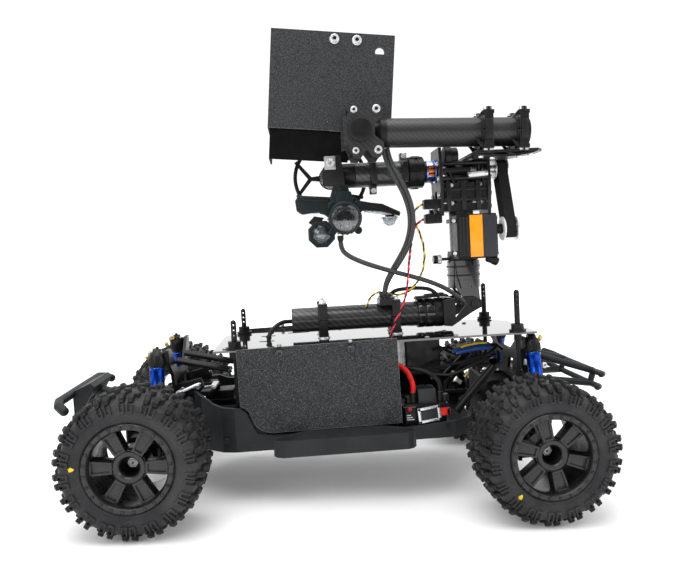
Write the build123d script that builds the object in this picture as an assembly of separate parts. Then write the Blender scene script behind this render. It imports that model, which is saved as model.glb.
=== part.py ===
from build123d import *
import math
import os

os.makedirs("parts", exist_ok=True)

# ---------------------------------------------------------------- driving dimensions (mm)
WHEELBASE = 348.0
TRACK = 236.0            # between the wheels' middle planes
TYRE_R, TYRE_W = 61.5, 64.0
BEAD_R = 37.0            # outside of the rim's bead ring
NOSE_DOWN = 2.67         # degrees that the sprung chassis leans on its springs
PIN_R = 1.5              # suspension pins
RUN = 0.05               # radial running clearance of pins and shafts

ARM_IN_Y, ARM_OUT_Y = 30.0, 86.0     # inner and outer pins of the arms
ARM_IN_Z = 58.0                      # lower inner pin above the ground, chassis level
LINK_RISE = 32.0                     # upper pins above the lower ones
CARRIER_DROP = 16.0                  # lower outer pin below the axle
KING_Y = 103.0                       # steering axis
SHOCK_TOP_Y, SHOCK_LOW_Y = 50.0, 74.0
EYE_CLEAR = 1.3                      # loose lower eye of the shock on its pin
BOSS_RISE = 9.2                      # shock's lower pin above the arm

DECK_X0, DECK_X1, DECK_HALF = -110.0, 198.0, 60.0
PANEL_SCREW_Z = 143.4                # side panels' screws
DECK_TOP, DECK_T = 146.0, 2.0
TUBE_R, TUBE_WALL = 12.5, 1.5        # 25 mm carbon tube
TUBE_Z = 163.7                       # deck tube's axis
MOTOR_X0, MOTOR_X1 = 54.0, 108.0      # drive motor
FRONT_BAR_X, REAR_BAR_X = -252.1, 263.0   # bumper bars
TOWER_T = 3.0                        # thickness of the shock towers
POST_R = 2.7                         # body posts above their nuts
FOLD_X, FOLD_Z = 150.0, 171.5        # mast's fold pin
MAST_X, MAST_R = 144.0, 17.0
ROLL_Z = 308.0                       # roll axis of the lamp arm
BELT_R = 8.1                         # inside of the belt round both pulleys
HEAD_R = 13.8                        # upper tube
HEAD_Y = -40.0
HEAD_X0, HEAD_X1, HEAD_Z0, HEAD_Z1 = 58.0, 199.0, 342.8, 338.4
TILT_X, TILT_Z = 37.5, 343.0         # tilt axis of the hood
HOOD_TILT = 5.4                      # degrees, front end up

SIDES = {"near": -1, "far": 1}
ENDS = {"front": -1, "rear": 1}


# ---------------------------------------------------------------- helpers
def box(x0, x1, y0, y1, z0, z1):
    """A block between two corners."""
    middle = Pos((x0 + x1) / 2, (y0 + y1) / 2, (z0 + z1) / 2)
    return middle * Box(x1 - x0, y1 - y0, z1 - z0)


def rod_x(x0, x1, y, z, r):
    """A round bar along X."""
    return Pos((x0 + x1) / 2, y, z) * Rot(0, 90, 0) * Cylinder(r, x1 - x0)


def rod_y(y0, y1, x, z, r):
    """A round bar along Y."""
    return Pos(x, (y0 + y1) / 2, z) * Rot(90, 0, 0) * Cylinder(r, abs(y1 - y0))


def rod_z(z0, z1, x, y, r):
    """A round bar along Z."""
    return Pos(x, y, (z0 + z1) / 2) * Cylinder(r, z1 - z0)


def rod(a, b, r):
    """A round bar between two points."""
    a, b = Vector(*a), Vector(*b)
    way = b - a
    plane = Plane(origin=a, z_dir=way)
    return plane * Pos(0, 0, way.length / 2) * Cylinder(r, way.length)


def tube_run(points, r):
    """A bent bar through several points, with round corners."""
    bar = rod(points[0], points[1], r) + Pos(*points[0]) * Sphere(r)
    for a, b in zip(points[1:], points[2:]):
        bar = bar + rod(a, b, r) + Pos(*a) * Sphere(r)
    return bar + Pos(*points[-1]) * Sphere(r)


def slab_xz(points, y0, y1):
    """A flat plate from an outline in X and Z."""
    face = Plane.XZ * make_face(Polyline(*points, close=True))
    return Pos(0, max(y0, y1), 0) * extrude(face, abs(y1 - y0))


def slab_yz(points, x0, x1):
    """A flat plate from an outline in Y and Z."""
    face = Plane.YZ * make_face(Polyline(*points, close=True))
    return Pos(min(x0, x1), 0, 0) * extrude(face, abs(x1 - x0))


def slab_xy(points, z0, z1):
    """A flat plate from an outline in X and Y."""
    face = make_face(Polyline(*points, close=True))
    return Pos(0, 0, z0) * extrude(face, z1 - z0)


def level(x, z):
    """Ground coordinates of a point turned into the chassis's own level ones."""
    a = math.radians(NOSE_DOWN)
    return x * math.cos(a) + z * math.sin(a), -x * math.sin(a) + z * math.cos(a)


def lean(shape):
    """Turns a piece drawn on the level chassis to where it stands on its springs."""
    return Rot(0, -NOSE_DOWN, 0) * shape


def save(name, *solids):
    """Writes a node: its solids stay separate pieces."""
    kept = [s for piece in solids for s in piece.solids()]
    shape = kept[0] if len(kept) == 1 else Compound(children=kept)
    export_step(shape, f"parts/{name}.step")


def both(make):
    """A piece and its mirror image across the middle plane."""
    return [make, mirror(make, Plane.XZ)]


# ---------------------------------------------------------------- wheels (built about the origin, face at -Y)
def tyre():
    """Knobbly tyre: one ring with a rounded crown, hollow towards the rim."""
    half = TYRE_W / 2
    with BuildSketch(Plane.XY) as section:
        with BuildLine():
            Polyline((BEAD_R - 2.0, -half + 5), (BEAD_R + 3, -half + 1.5), (BEAD_R + 12, -half),
                     (TYRE_R - 5, -half + 1), (TYRE_R, -half + 6), (TYRE_R, half - 6),
                     (TYRE_R - 5, half - 1), (BEAD_R + 12, half), (BEAD_R + 3, half - 1.5),
                     (BEAD_R - 2.0, half - 5), (BEAD_R - 2.0, half - 12), (BEAD_R + 14, half - 8),
                     (BEAD_R + 16, 0), (BEAD_R + 14, -half + 8), (BEAD_R - 2.0, -half + 12), close=True)
        make_face()
    return revolve(section.sketch, Axis.Y)


def rim():
    """Six-spoke rim with a screwed bead ring, its hub bore and the stub axle in it."""
    half = TYRE_W / 2
    seat = BEAD_R - 2.05
    with BuildSketch(Plane.XY) as barrel:
        with BuildLine():
            Polyline((32.0, -half + 0.5), (BEAD_R - 0.5, -half + 0.5), (BEAD_R - 0.5, -half + 3.5),
                     (seat, -half + 5), (seat, half - 5), (BEAD_R - 1, half - 3.5),
                     (BEAD_R - 1, half - 1), (33.0, half - 1), (33.0, -half + 9), (32.0, -half + 6), close=True)
        make_face()
    body = revolve(barrel.sketch, Axis.Y)
    hub = rod_y(-24, 0, 0, 0, 13.5) - rod_y(-25, -4, 0, 0, 8.3) - rod_y(-5, 1, 0, 0, 3.05)
    body = body + hub
    for k in range(6):
        spoke = slab_xz([(11.5, -5.5), (32.8, -6.8), (32.8, 6.8), (11.5, 5.5)], -half + 9, -half + 16)
        spoke = spoke - slab_xz([(15, -2.2), (30, -3), (30, 3), (15, 2.2)], -half + 8, -half + 10.5)
        body = body + Rot(0, 60 * k, 0) * spoke
    axle = rod_y(-13, 22, 0, 0, 3.0)
    nut = Plane.XZ * Pos(0, 0, 4.05) * extrude(RegularPolygon(4.6, 6), 4.4)
    nut = nut - rod_y(-10, 0, 0, 0, 3.02)
    drive_hex = Plane.XZ * Pos(0, 0, -5.5) * extrude(RegularPolygon(6.9, 6), 5.4) - rod_y(-1, 8, 0, 0, 3.02)
    return [body, axle, nut, drive_hex]


# ---------------------------------------------------------------- one corner of the suspension
def corner(end, side):
    """All pieces of one corner, drawn on the level chassis with the wheel at +Y."""
    xa, za = level(ENDS[end] * WHEELBASE / 2, TYRE_R)
    low_z = za - CARRIER_DROP
    top_z = low_z + LINK_RISE
    in_top_z = ARM_IN_Z + LINK_RISE
    xs = shock_x(end)

    def drop(y):
        return ARM_IN_Z + (low_z - ARM_IN_Z) * (y - ARM_IN_Y) / (ARM_OUT_Y - ARM_IN_Y)

    # lower arm: two legs from a wide inner hinge to a narrow outer one, with a shock boss
    legs = []
    for s in (-1, 1):
        leg = slab_xy([(xa + s * 9, ARM_IN_Y + 2), (xa + s * 18, ARM_IN_Y + 2), (xa + s * 8, ARM_OUT_Y - 0.5),
                       (xa + s * 2, ARM_OUT_Y - 0.5)], -3, 3)
        legs.append(leg)
    web = slab_xy([(xa - 6, 60), (xa + 6, 60), (xa + 7, ARM_OUT_Y - 2), (xa - 7, ARM_OUT_Y - 2)], -2, 2)
    fall = math.degrees(math.atan2(low_z - ARM_IN_Z, ARM_OUT_Y - ARM_IN_Y))
    flat = legs[0] + legs[1] + web
    flat = Pos(0, ARM_IN_Y, ARM_IN_Z) * Rot(fall, 0, 0) * Pos(0, -ARM_IN_Y, 0) * flat
    arm = flat + rod_x(xa - 18, xa + 18, ARM_IN_Y, ARM_IN_Z, 4.2)
    arm = arm + rod_x(xa - 9, xa + 9, ARM_OUT_Y, low_z, 4.2)
    boss_z = drop(SHOCK_LOW_Y) + BOSS_RISE
    reach = -1 if end == "front" else 1
    lug_x = sorted((xs - reach * 5.0, xs - reach * 8.5))
    arm = arm + box(*lug_x, SHOCK_LOW_Y - 5, SHOCK_LOW_Y + 5, drop(SHOCK_LOW_Y) - 2, boss_z + 4)
    arm = arm + box(xa + 4, lug_x[1], SHOCK_LOW_Y - 5, SHOCK_LOW_Y + 3, drop(SHOCK_LOW_Y) - 3,
                    drop(SHOCK_LOW_Y) + 1)
    pin_x = sorted((lug_x[0], xs + reach * 5.0))
    arm = arm + rod_x(min(pin_x), max(pin_x), SHOCK_LOW_Y, boss_z, PIN_R)
    arm = arm - rod_x(xa - 19, xa + 19, ARM_IN_Y, ARM_IN_Z, PIN_R + RUN)
    arm = arm - rod_x(xa - 12, xa + 12, ARM_OUT_Y, low_z, PIN_R + RUN)

    # upper link: a turnbuckle between two eyes
    xl = xa - 5
    link = rod((xl, ARM_IN_Y + 3, in_top_z + (top_z - in_top_z) * 3 / 56),
               (xl, ARM_OUT_Y - 3, top_z - (top_z - in_top_z) * 3 / 56), 2.2)
    link = link + rod_x(xl - 4, xl + 4, ARM_IN_Y, in_top_z, 4.0)
    link = link + rod_x(xl - 3.8, xl + 4, ARM_OUT_Y, top_z, 4.0)
    link = link - rod_x(xl - 6, xl + 6, ARM_IN_Y, in_top_z, PIN_R + RUN)
    link = link - rod_x(xl - 6, xl + 6, ARM_OUT_Y, top_z, PIN_R + RUN)

    # carrier: two cheeks that hold both outer pins, and either a bearing block or a fork
    carrier = box(xa - 9.4, xa + 9.4, 91, 94.2, za - 11, za + 11)
    for s in (-1, 1):
        cheek = sorted((xa + s * 9.4, xa + s * 12.4))
        carrier = carrier + box(*cheek, 82.5, 94.2, low_z - 4, top_z + 4)
    carrier = carrier + rod_x(xa - 11, xa + 11, ARM_OUT_Y, low_z, PIN_R)
    carrier = carrier + rod_x(xa - 11, xa + 11, ARM_OUT_Y, top_z, PIN_R)
    knuckle = None
    if end == "front":
        for s in (-1, 1):
            tab = sorted((za + s * 11.2, za + s * 14.5))
            carrier = carrier + box(xa - 7, xa + 7, 91, KING_Y + 5, *tab)
            carrier = carrier + box(xa - 9.4, xa + 9.4, 91, 94.2, *sorted((za + s * 10, za + s * 14.5)))
            king = sorted((za + s * 6.0, za + s * 12))
            carrier = carrier + rod_z(*king, xa, KING_Y, 2.0)
        carrier = carrier - rod_y(90, 95, xa, za, 6.5)
        knuckle = box(xa - 7, xa + 7, KING_Y - 6, KING_Y + 5.5, za - 10.9, za + 10.9)
        knuckle = knuckle - rod_z(za - 12, za - 5.7, xa, KING_Y, 2.0 + RUN)
        knuckle = knuckle - rod_z(za + 5.7, za + 12, xa, KING_Y, 2.0 + RUN)
        knuckle = knuckle + box(xa + 6, xa + 20, KING_Y - 1, KING_Y + 3, za + 3, za + 7)
    else:
        carrier = carrier + box(xa - 7, xa + 7, 94, KING_Y + 5.5, za - 9, za + 9)

    # shock, drawn upright with its top pin at the origin
    top = (SHOCK_TOP_Y, shock_top(end))
    low = (SHOCK_LOW_Y, boss_z)
    length = math.hypot(low[0] - top[0], low[1] - top[1])
    angle = math.degrees(math.atan2(low[0] - top[0], top[1] - low[1]))
    barrel = rod_z(-14, -3, 0, 0, 7.6) + rod_z(-50, -14, 0, 0, 6.8) + rod_z(-47, -40, 0, 0, 7.6)
    barrel = barrel + rod_x(-3.8, 3.8, 0, 0, 4.5)
    barrel = barrel - rod_z(-46, -16, 0, 0, 5.4) - rod_z(-51, -45, 0, 0, PIN_R + 0.3)
    barrel = barrel - rod_x(-6, 6, 0, 0, PIN_R + RUN)
    shaft = rod_z(-length + 5, -29, 0, 0, PIN_R) + rod_z(-35, -32, 0, 0, 5.1)
    shaft = shaft + rod_z(-length + 9, -length + 12, 0, 0, 9.4) + rod_z(-length + 6, -length + 10, 0, 0, 3.4)
    eye = rod_x(-3.8, 3.8, 0, -length, PIN_R + EYE_CLEAR + 1.8)
    shaft = shaft + rod_z(-length + 2, -length + 8, 0, 0, 2.4) + eye
    shaft = shaft - rod_x(-6, 6, 0, -length, PIN_R + EYE_CLEAR)
    coil = rod_z(-length + 12.1, -48, 0, 0, 9.3) - rod_z(-length + 11, -46, 0, 0, 8.0)
    place = Pos(xs, top[0], top[1]) * Rot(angle, 0, 0)

    # the wheel stands upright on the ground, so it isn't leaned with the chassis
    hub_place = Pos(ENDS[end] * WHEELBASE / 2, SIDES[side] * TRACK / 2, TYRE_R)
    face = Rot(0, 0, 0) if side == "near" else Rot(0, 0, 180)
    name = f"{end}_{side}"

    def settle(piece):
        piece = piece if side == "far" else mirror(piece, Plane.XZ)
        return lean(piece)

    save(f"{name}_lower_arm", settle(arm))
    save(f"{name}_upper_link", settle(link))
    save(f"{name}_carrier", settle(carrier - rod_y(80, 120, xa, za, 3.0 + RUN)))
    if knuckle is not None:
        save(f"{name}_knuckle", settle(knuckle - rod_y(80, 120, xa, za, 3.0 + RUN)))
    save(f"{name}_shock_body", settle(place * barrel))
    save(f"{name}_shock_shaft", settle(place * shaft), settle(place * coil))
    save(f"{name}_tyre", hub_place * face * tyre())
    save(f"{name}_rim", *[hub_place * face * piece for piece in rim()])


def shock_x(end):
    """Where the shocks hang, along the chassis."""
    xa, _ = level(ENDS[end] * WHEELBASE / 2, TYRE_R)
    return xa + 8 if end == "front" else xa + 18.5


def shock_top(end):
    """Height of the shocks' top pins."""
    return 146.0 if end == "front" else 138.0


# ---------------------------------------------------------------- chassis
def tub():
    """Moulded tub: a floor with raised sides, and a narrow tunnel under each gearbox."""
    outline = [(-134, -36), (-124, -56), (-104, -72), (-92, -75), (112, -75), (130, -62), (140, -30),
               (140, 30), (130, 62), (112, 75), (-92, 75), (-104, 72), (-124, 56), (-134, 36)]
    inner = [(x * 0.975, y * 0.955) for x, y in outline]
    shell = slab_xy(outline, 54, 106) - slab_xy(inner, 57, 107)
    side = [(-150, 107), (-136, 106), (-120, 102.5), (-112, 97.5), (-104, 95.5), (-86, 94), (-81, 90),
            (-76, 78), (-72, 70), (-60, 68.2), (60, 65.5), (104, 69), (150, 69), (150, 120), (-150, 120)]
    shell = shell - slab_xz(side, -80, 80)
    shell = shell - box(-145, -120, -34, 34, 57, 110) - box(130, 145, -28, 28, 57, 110)
    front_tray = box(-206, -125, -25, 25, 46, 49.6) + box(-137, -125, -25, 25, 46, 57)
    rear_tray = box(130, 210, -25, 25, 46, 49.6) + box(130, 142, -25, 25, 46, 57)
    return shell + front_tray + rear_tray


def side_loop():
    """Strap that stands out beside the tub and keeps the tyres off what it passes."""
    outer = [(-57, -98), (-54, -103), (-48, -105.5), (62, -105.5), (67, -103), (70, -98), (70, -92),
             (60, -86), (40, -75.3), (-26, -75.3), (-46, -86), (-57, -92)]
    inner = [(-54, -97.5), (-52, -100.8), (-47, -102.8), (61, -102.8), (65, -100.8), (67, -97.5),
             (67, -93.5), (58, -88.5), (36, -78), (-23, -78), (-44, -88.5), (-54, -93.5)]
    return slab_xy(outer, 55.5, 70.3) - slab_xy(inner, 50, 80)


def bumpers():
    """Front bar with its ribbed wedge, and the two rear bars with their struts."""
    pieces = []
    fx, rx = FRONT_BAR_X, REAR_BAR_X
    bar = [(fx + 9, -75, 103), (fx + 3, -70, 106.5), (fx, -60, 108.5), (fx, 60, 108.5), (fx + 3, 70, 106.5),
           (fx + 9, 75, 103)]
    front = tube_run(bar, 4.3)
    wedge = slab_xz([(fx + 2, 111), (fx + 19, 118), (fx + 23, 114), (fx + 6, 85), (fx + 2, 86)], -30, 30)
    wedge = wedge - box(fx - 6, fx + 26, -23, -3, 60, 103) - box(fx - 6, fx + 26, 3, 23, 60, 103)
    mount = rod((fx + 16, 0, 106), (-198, 0, 93), 5.5) + box(-206, -193.5, -18, 18, 50, 99)
    pieces.append(front + wedge + mount)
    upper = [(rx - 9, -72, 103), (rx - 3, -62, 101), (rx, -40, 99), (rx, 40, 99), (rx - 3, 62, 101),
             (rx - 9, 72, 103)]
    rear = tube_run(upper, 3.0) + tube_run([(x - 4, y, z - 12) for x, y, z in upper], 3.0)
    for s in (-1, 1):
        rear = rear + rod((rx, s * 36, 99), (204, s * 16, 118), 3.4)
        rear = rear + rod((rx - 4, s * 36, 87), (204, s * 16, 92), 3.4)
        rear = rear + rod((rx, s * 36, 99), (rx - 4, s * 36, 87), 3.0)
    rear = rear + box(200.2, 210, -22, 22, 50, 122)
    pieces.append(rear)
    return pieces


def drivetrain():
    """Two gearboxes with the arms' pins, the motor and the centre shaft."""
    solids = []
    for end in ENDS:
        xa, _ = level(ENDS[end] * WHEELBASE / 2, TYRE_R)
        case = box(xa - 17.5, xa + 17.5, -23, 23, 50, 92)
        case = fillet(case.edges().filter_by(Axis.X), 6)
        for s in (-1, 1):
            plate = sorted((xa + s * 18.4, xa + s * 22.4))
            case = case + box(*plate, -35, 35, 50, 95)
            case = case + box(*sorted((xa + s * 17, xa + s * 19)), -22, 22, 50, 90)
        for s in (-1, 1):
            for z in (ARM_IN_Z, ARM_IN_Z + LINK_RISE):
                case = case + rod_x(xa - 20, xa + 20, s * ARM_IN_Y, z, PIN_R)
        cup = rod_y(-28, 28, xa, ARM_IN_Z + 14, 6)
        case = case + cup
        solids.append(case)
    xf, _ = level(-WHEELBASE / 2, TYRE_R)
    xr, _ = level(WHEELBASE / 2, TYRE_R)
    solids.append(rod_x(xf + 22.5, xr - 22.5, 0, 78, 3.0))
    motor = rod_x(MOTOR_X0, MOTOR_X1, 32, 82, 18)
    solids.append(motor)
    solids.append(rod_x(MOTOR_X1 + 0.1, MOTOR_X1 + 8, 32, 82, 2.5) + rod_x(MOTOR_X1 + 2, MOTOR_X1 + 7, 32, 82, 5.5))
    gear = rod_x(MOTOR_X1 + 2, MOTOR_X1 + 7, 0, 78, 20.5) - rod_x(MOTOR_X1, MOTOR_X1 + 9, 0, 78, 3.02)
    solids.append(gear - rod_x(MOTOR_X1, MOTOR_X1 + 9, 32, 82, 12.0))
    return solids


def tower_x(end):
    """The face of a shock tower that the shocks' eyes run against."""
    return shock_x(end) + 9.0 if end == "front" else shock_x(end) - 8.2


def towers():
    """Shock towers with their pins, the front braces and the rear diagonals."""
    solids = []
    for end in ENDS:
        xa, _ = level(ENDS[end] * WHEELBASE / 2, TYRE_R)
        xs, top = shock_x(end), shock_top(end)
        x0, x1 = sorted((tower_x(end), tower_x(end) - ENDS[end] * TOWER_T))
        half = [(34, 99), (34, 106), (40, 124), (57, top - 8), (57, top + 3), (44, top + 3), (18, 124)]
        outline = half + [(-y, z) for y, z in reversed(half)]
        plate = slab_yz(outline, x0, x1)
        for s in (-1, 1):
            plate = plate - slab_yz([(s * 24, 103), (s * 9, 103), (s * 13, 115), (s * 27, 115)], x0 - 1, x1 + 1)
        plate = plate + box(min(x0, xa + 18.4), max(x1, xa + 22.4), -34, 34, 95.1, 99.2)
        tip = xs + ENDS[end] * 5
        for s in (-1, 1):
            plate = plate + rod_x(min(tip, x0), max(tip, x1), s * SHOCK_TOP_Y, top, PIN_R)
        solids.append(plate)
    start = tower_x("front") + TOWER_T + 0.4
    for y in (-27, -19, 19, 27):
        solids.append(rod((start, y, 134), (-100, y, 122), 2.4))
    for s in (-1, 1):
        solids.append(rod((158, s * 46, 112), (118, s * 51, 72), 4.0))
    return solids


def deck():
    """Glossy deck plate with clipped corners and lightening slots."""
    x0, x1, w = DECK_X0, DECK_X1, DECK_HALF
    outline = [(x0, -w), (x1, -w), (x1, w - 26), (x1 - 24, w), (x0 + 14, w), (x0, w - 14)]
    plate = slab_xy(outline, DECK_TOP - DECK_T, DECK_TOP)
    for x, y, a, b in ((-62, -14, 16, 6), (-62, 24, 16, 6), (-30, 38, 24, 6), (60, 38, 24, 6), (54, -52, 12, 6),
                       (30, -38, 24, 6), (100, 38, 20, 6), (100, -38, 20, 6)):
        plate = plate - Pos(x, y, DECK_TOP) * extrude(SlotOverall(a, b), 8, both=True)
    for x, y, _ in post_places():
        plate = plate - rod_z(140, 150, x, y, 3.6)
    return plate


def post_places():
    """Body posts: place on the deck and height above it."""
    front, rear = DECK_X0 + 20, DECK_X1 - 17.8
    return [(front, -56, 28), (front, 56, 28), (rear, -56, 41), (rear, 56, 41)]


def posts():
    """Body posts with their flange nuts and the collars below the deck."""
    solids = []
    for x, y, tall in post_places():
        foot = 57.1 if x < 0 else 99.3
        tip = DECK_TOP + tall - 2.7
        post = rod_z(DECK_TOP + 8.1, tip, x, y, POST_R) + Pos(x, y, tip) * Sphere(POST_R)
        post = post + rod_z(foot, DECK_TOP + 8.1, x, y, POST_R - 0.5) + rod_z(foot, foot + 10, x, y, 3.6)
        if x > 0:
            post = post + box(x - 3.6, tower_x("rear") - TOWER_T - 0.1, *sorted((y, y * 0.55)), foot, foot + 6)
        for k in range(3):
            post = post - rod_y(y - 6, y + 6, x, tip - 2 - 5 * k, 0.9)
        solids.append(post)
        nut = rod_z(DECK_TOP + 0.1, DECK_TOP + 2.6, x, y, 8) + rod_z(DECK_TOP + 2.5, DECK_TOP + 8, x, y, 6)
        solids.append(nut - rod_z(DECK_TOP - 1, DECK_TOP + 9, x, y, 2.75))
        below = rod_z(DECK_TOP - DECK_T - 6, DECK_TOP - DECK_T - 0.1, x, y, 5.5 if x < 0 else 3.7)
        solids.append(below - rod_z(130, DECK_TOP, x, y, 2.75))
    return solids


def side_panels():
    """Textured side plates with a clipped lower corner and two screws each."""
    outline = [(-87, 148.7), (60, 150.6), (61.4, 71.5), (-60, 70.6), (-68.5, 73.5), (-74.5, 79.5),
               (-78.5, 91), (-82, 94.6), (-86.3, 96.8)]
    plate = slab_xz(outline, -77.6, -75.6)
    lip = box(-80, 50, -75.7, -61, 142.1, 143.9)
    solids = []
    for x in (-48, 17):
        plate = plate - rod_y(-80, -70, x, PANEL_SCREW_Z, 2.0)
        lip = lip - box(x - 5, x + 5, -75.55, -68, 140, 146)
        screw = rod_y(-80.2, -77.65, x, PANEL_SCREW_Z, 3.4) + rod_y(-78, -72, x, PANEL_SCREW_Z, 1.9)
        solids.append(screw)
        solids.append(rod_y(-75.5, -72.2, x, PANEL_SCREW_Z, 3.6) - rod_y(-78, -70, x, PANEL_SCREW_Z, 1.95))
    solids.insert(0, plate + lip)
    out = []
    for piece in solids:
        out += both(piece)
    return out


def battery():
    """Battery pack held on the tub's floor by a strap, and the equipment box hung under the deck."""
    pack = fillet(box(-64, 58, -66, -24, 57.1, 96).edges().filter_by(Axis.X), 4)
    strap = box(-12, 8, -67.5, -22.5, 57.1, 97.5) - box(-13, 9, -66.1, -23.9, 57, 96.1)
    case = fillet(box(76, 112, -20, 62, 103.5, 142).edges().filter_by(Axis.Z), 2)
    lid = box(75, 113, -21, 63, 138, 140.5)
    return [pack, strap, case + lid + box(84, 104, -8, 50, 141, 143.9)]


def controller():
    """Speed controller: a box, its fan cover, terminal posts and a framed switch panel."""
    case = fillet(box(65, 106, -66, -40, 67, 85).edges().filter_by(Axis.Z), 2)
    foot = box(64, 108, -66, -38, 57.1, 66.9)
    fan = box(80, 96, -64, -46, 85.1, 98)
    screen = box(77, 98, -70.5, -66.1, 69, 83) - box(80, 95, -71, -69.8, 72, 80)
    posts_ = [rod_z(85.1, 91, x, -60, 2.6) for x in (70, 75, 101)]
    plug = box(99, 108, -70, -66.2, 74, 80)
    return [case, foot, fan, screen, plug] + posts_


def deck_tube():
    """Carbon tube on the deck."""
    return rod_x(-36, 128, 0, TUBE_Z, TUBE_R) - rod_x(-37, 127, 0, TUBE_Z, TUBE_R - TUBE_WALL)


def tube_clamp(x, y, z, half_w, r, low, top):
    """Two-part block clamp round a tube along X, with a screw each side."""
    solids = []
    ring = rod_x(x - half_w, x + half_w, y, z, r + 3)
    for s in (-1, 1):
        post = sorted((y + s * (r - 0.5), y + s * (r + 6)))
        ring = ring + box(x - half_w + 0.8, x + half_w - 0.8, *post, z - r - 4, z + r + 4)
        for t in (-1, 1):
            ring = ring + box(x - half_w, x + half_w, *post, *sorted((z + t * (r + 0.5), z + t * (r + 4))))
    ring = ring - rod_x(x - 20, x + 20, y, z, r + 0.02) - box(x - 20, x + 20, y - 40, y + 40, z - 0.5, z + 0.5)
    for s in (-1, 1):
        ys = y + s * (r + 3)
        ring = ring - rod_z(low - 1, top + 1, x, ys, 1.55)
    solids += ring.solids()
    for s in (-1, 1):
        ys = y + s * (r + 3)
        screw = rod_z(low, top - 3, x, ys, 1.5) + rod_z(z + r + 4.02, z + r + 7, x, ys, 2.8)
        solids.append(screw)
    return solids


def deck_clamps():
    """Clamps that hold the deck tube on spacers, with their screws, and the saddle of the harness."""
    solids = []
    for x in (-4.5, 69.5):
        foot = box(x - 4.8, x + 4.8, -18.5, 18.5, DECK_TOP + 0.05, TUBE_Z - TUBE_R - 4.05)
        solids += tube_clamp(x, 0, TUBE_Z, 4.8, TUBE_R, DECK_TOP + 1, TUBE_Z + 20)
        for s in (-1, 1):
            foot = foot - rod_z(140, 160, x, s * (TUBE_R + 3), 1.55)
        solids.append(foot)
    solids.append(box(52, 64.5, -26, -2, TUBE_Z + TUBE_R + 0.1, 181.9))
    return solids


def fold_base():
    """Ferrule on the deck tube and the two cheeks that hold the fold pin."""
    ferrule = rod_x(93, 129.5, 0, TUBE_Z, 14.6) - rod_x(92, 128.02, 0, TUBE_Z, TUBE_R + 0.02)
    for x in (100, 110, 120):
        ferrule = ferrule - (rod_x(x, x + 1.2, 0, TUBE_Z, 16) - rod_x(x - 1, x + 3, 0, TUBE_Z, 14.0))
    cheeks = None
    outline = [(118, 151), (126, 150), (147, 163), (157, 168), (157.5, 175), (151, 179), (140, 179), (118, 177)]
    window = [(130, 158), (130, 173), (143, 173.5)]
    for s in (-1, 1):
        y = sorted((s * 14.2, s * 17.4))
        cheek = slab_xz(outline, *y) - slab_xz(window, y[0] - 1, y[1] + 1)
        cheeks = cheek if cheeks is None else cheeks + cheek
        cheeks = cheeks + box(118, 127, *sorted((s * 9, s * 15)), 156, 171)
    body = ferrule + cheeks + rod_y(-17, 17, FOLD_X, FOLD_Z, 2.5)
    return body - rod_x(92, 128.02, 0, TUBE_Z, TUBE_R + 0.02)


# ---------------------------------------------------------------- mast and head
def mast_tube():
    """Lower cup with its fold cheeks, and the carbon post."""
    cup = rod_z(188, 216, MAST_X, 0, MAST_R) - rod_z(192, 217, MAST_X, 0, TUBE_R + 0.02)
    for z in (196, 204):
        cup = cup - (rod_z(z, z + 1, MAST_X, 0, 20) - rod_z(z - 1, z + 2, MAST_X, 0, MAST_R - 0.6))
    outline = [(132, 189), (156, 189), (157, 176), (154, 166), (146, 166), (143, 172)]
    for s in (-1, 1):
        y = sorted((s * 8.6, s * 13.2))
        cup = cup + slab_xz(outline, *y)
    cup = cup - rod_y(-20, 20, FOLD_X, FOLD_Z, 2.5 + RUN)
    post = rod_z(192.1, 300, MAST_X, 0, TUBE_R) - rod_z(193, 301, MAST_X, 0, TUBE_R - TUBE_WALL)
    return [cup, post]


def mast_frame():
    """Side plates, shelf, stand-offs, connectors and thumb screws at the top of the mast."""
    solids = []
    left = slab_yz([(-20, 262), (20, 262), (22, 300), (18, 330), (-18, 330), (-22, 300)], 119, 122)
    left = left - rod_x(118, 123, 0, ROLL_Z, 4.05) - rod_x(118, 123, 0, 282, 6)
    right = slab_yz([(-16, 262), (16, 262), (20, 290), (18, 317.5), (-18, 317.5), (-20, 290)], 168, 171)
    right = right - rod_x(167, 172, 0, ROLL_Z, 4.05)
    right = right - slab_yz([(-10, 268), (-14, 288), (-6, 296), (-4, 270)], 167, 172)
    right = right - slab_yz([(10, 268), (14, 288), (6, 296), (4, 270)], 167, 172)
    collar = box(122, 167.9, -17, 17, 266, 274) - rod_z(265, 275, MAST_X, 0, TUBE_R + 0.02)
    solids += [left, right, collar]
    block = box(124, 166, -16, 16, 276, 294) - rod_z(275, 302, MAST_X, 0, TUBE_R + 0.02)
    solids.append(fillet(block.edges().filter_by(Axis.Z).group_by(Axis.X)[0], 1.0))
    drum = rod_x(130, 154, 0, ROLL_Z, 7.5) - rod_x(129, 157, 0, ROLL_Z, 4.05)
    solids.append(drum + box(134, 152, -7, 7, 300.1, ROLL_Z - 5) - rod_x(129, 157, 0, ROLL_Z, 4.05))
    for y in (-17, 17):
        solids.append(rod_x(122.05, 167.95, y, 299, 2.4))
        solids.append(rod_x(122.05, 167.95, y * 0.85, 314, 2.2))
    solids.append(box(102.3, 118.9, -18.5, -9.5, 269.8, 278.8))
    solids.append(box(101.9, 118.9, -24, -15.5, 255.2, 264))
    for z in (218, 265):
        screw = rod_x(113, 121, 0, z, 4.4) + rod_x(120.9, 131.4, 0, z, 1.5)
        if z == 265:
            screw = rod_x(111, 118.9, 0, z, 4.4)
        solids.append(screw)
    return solids


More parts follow.
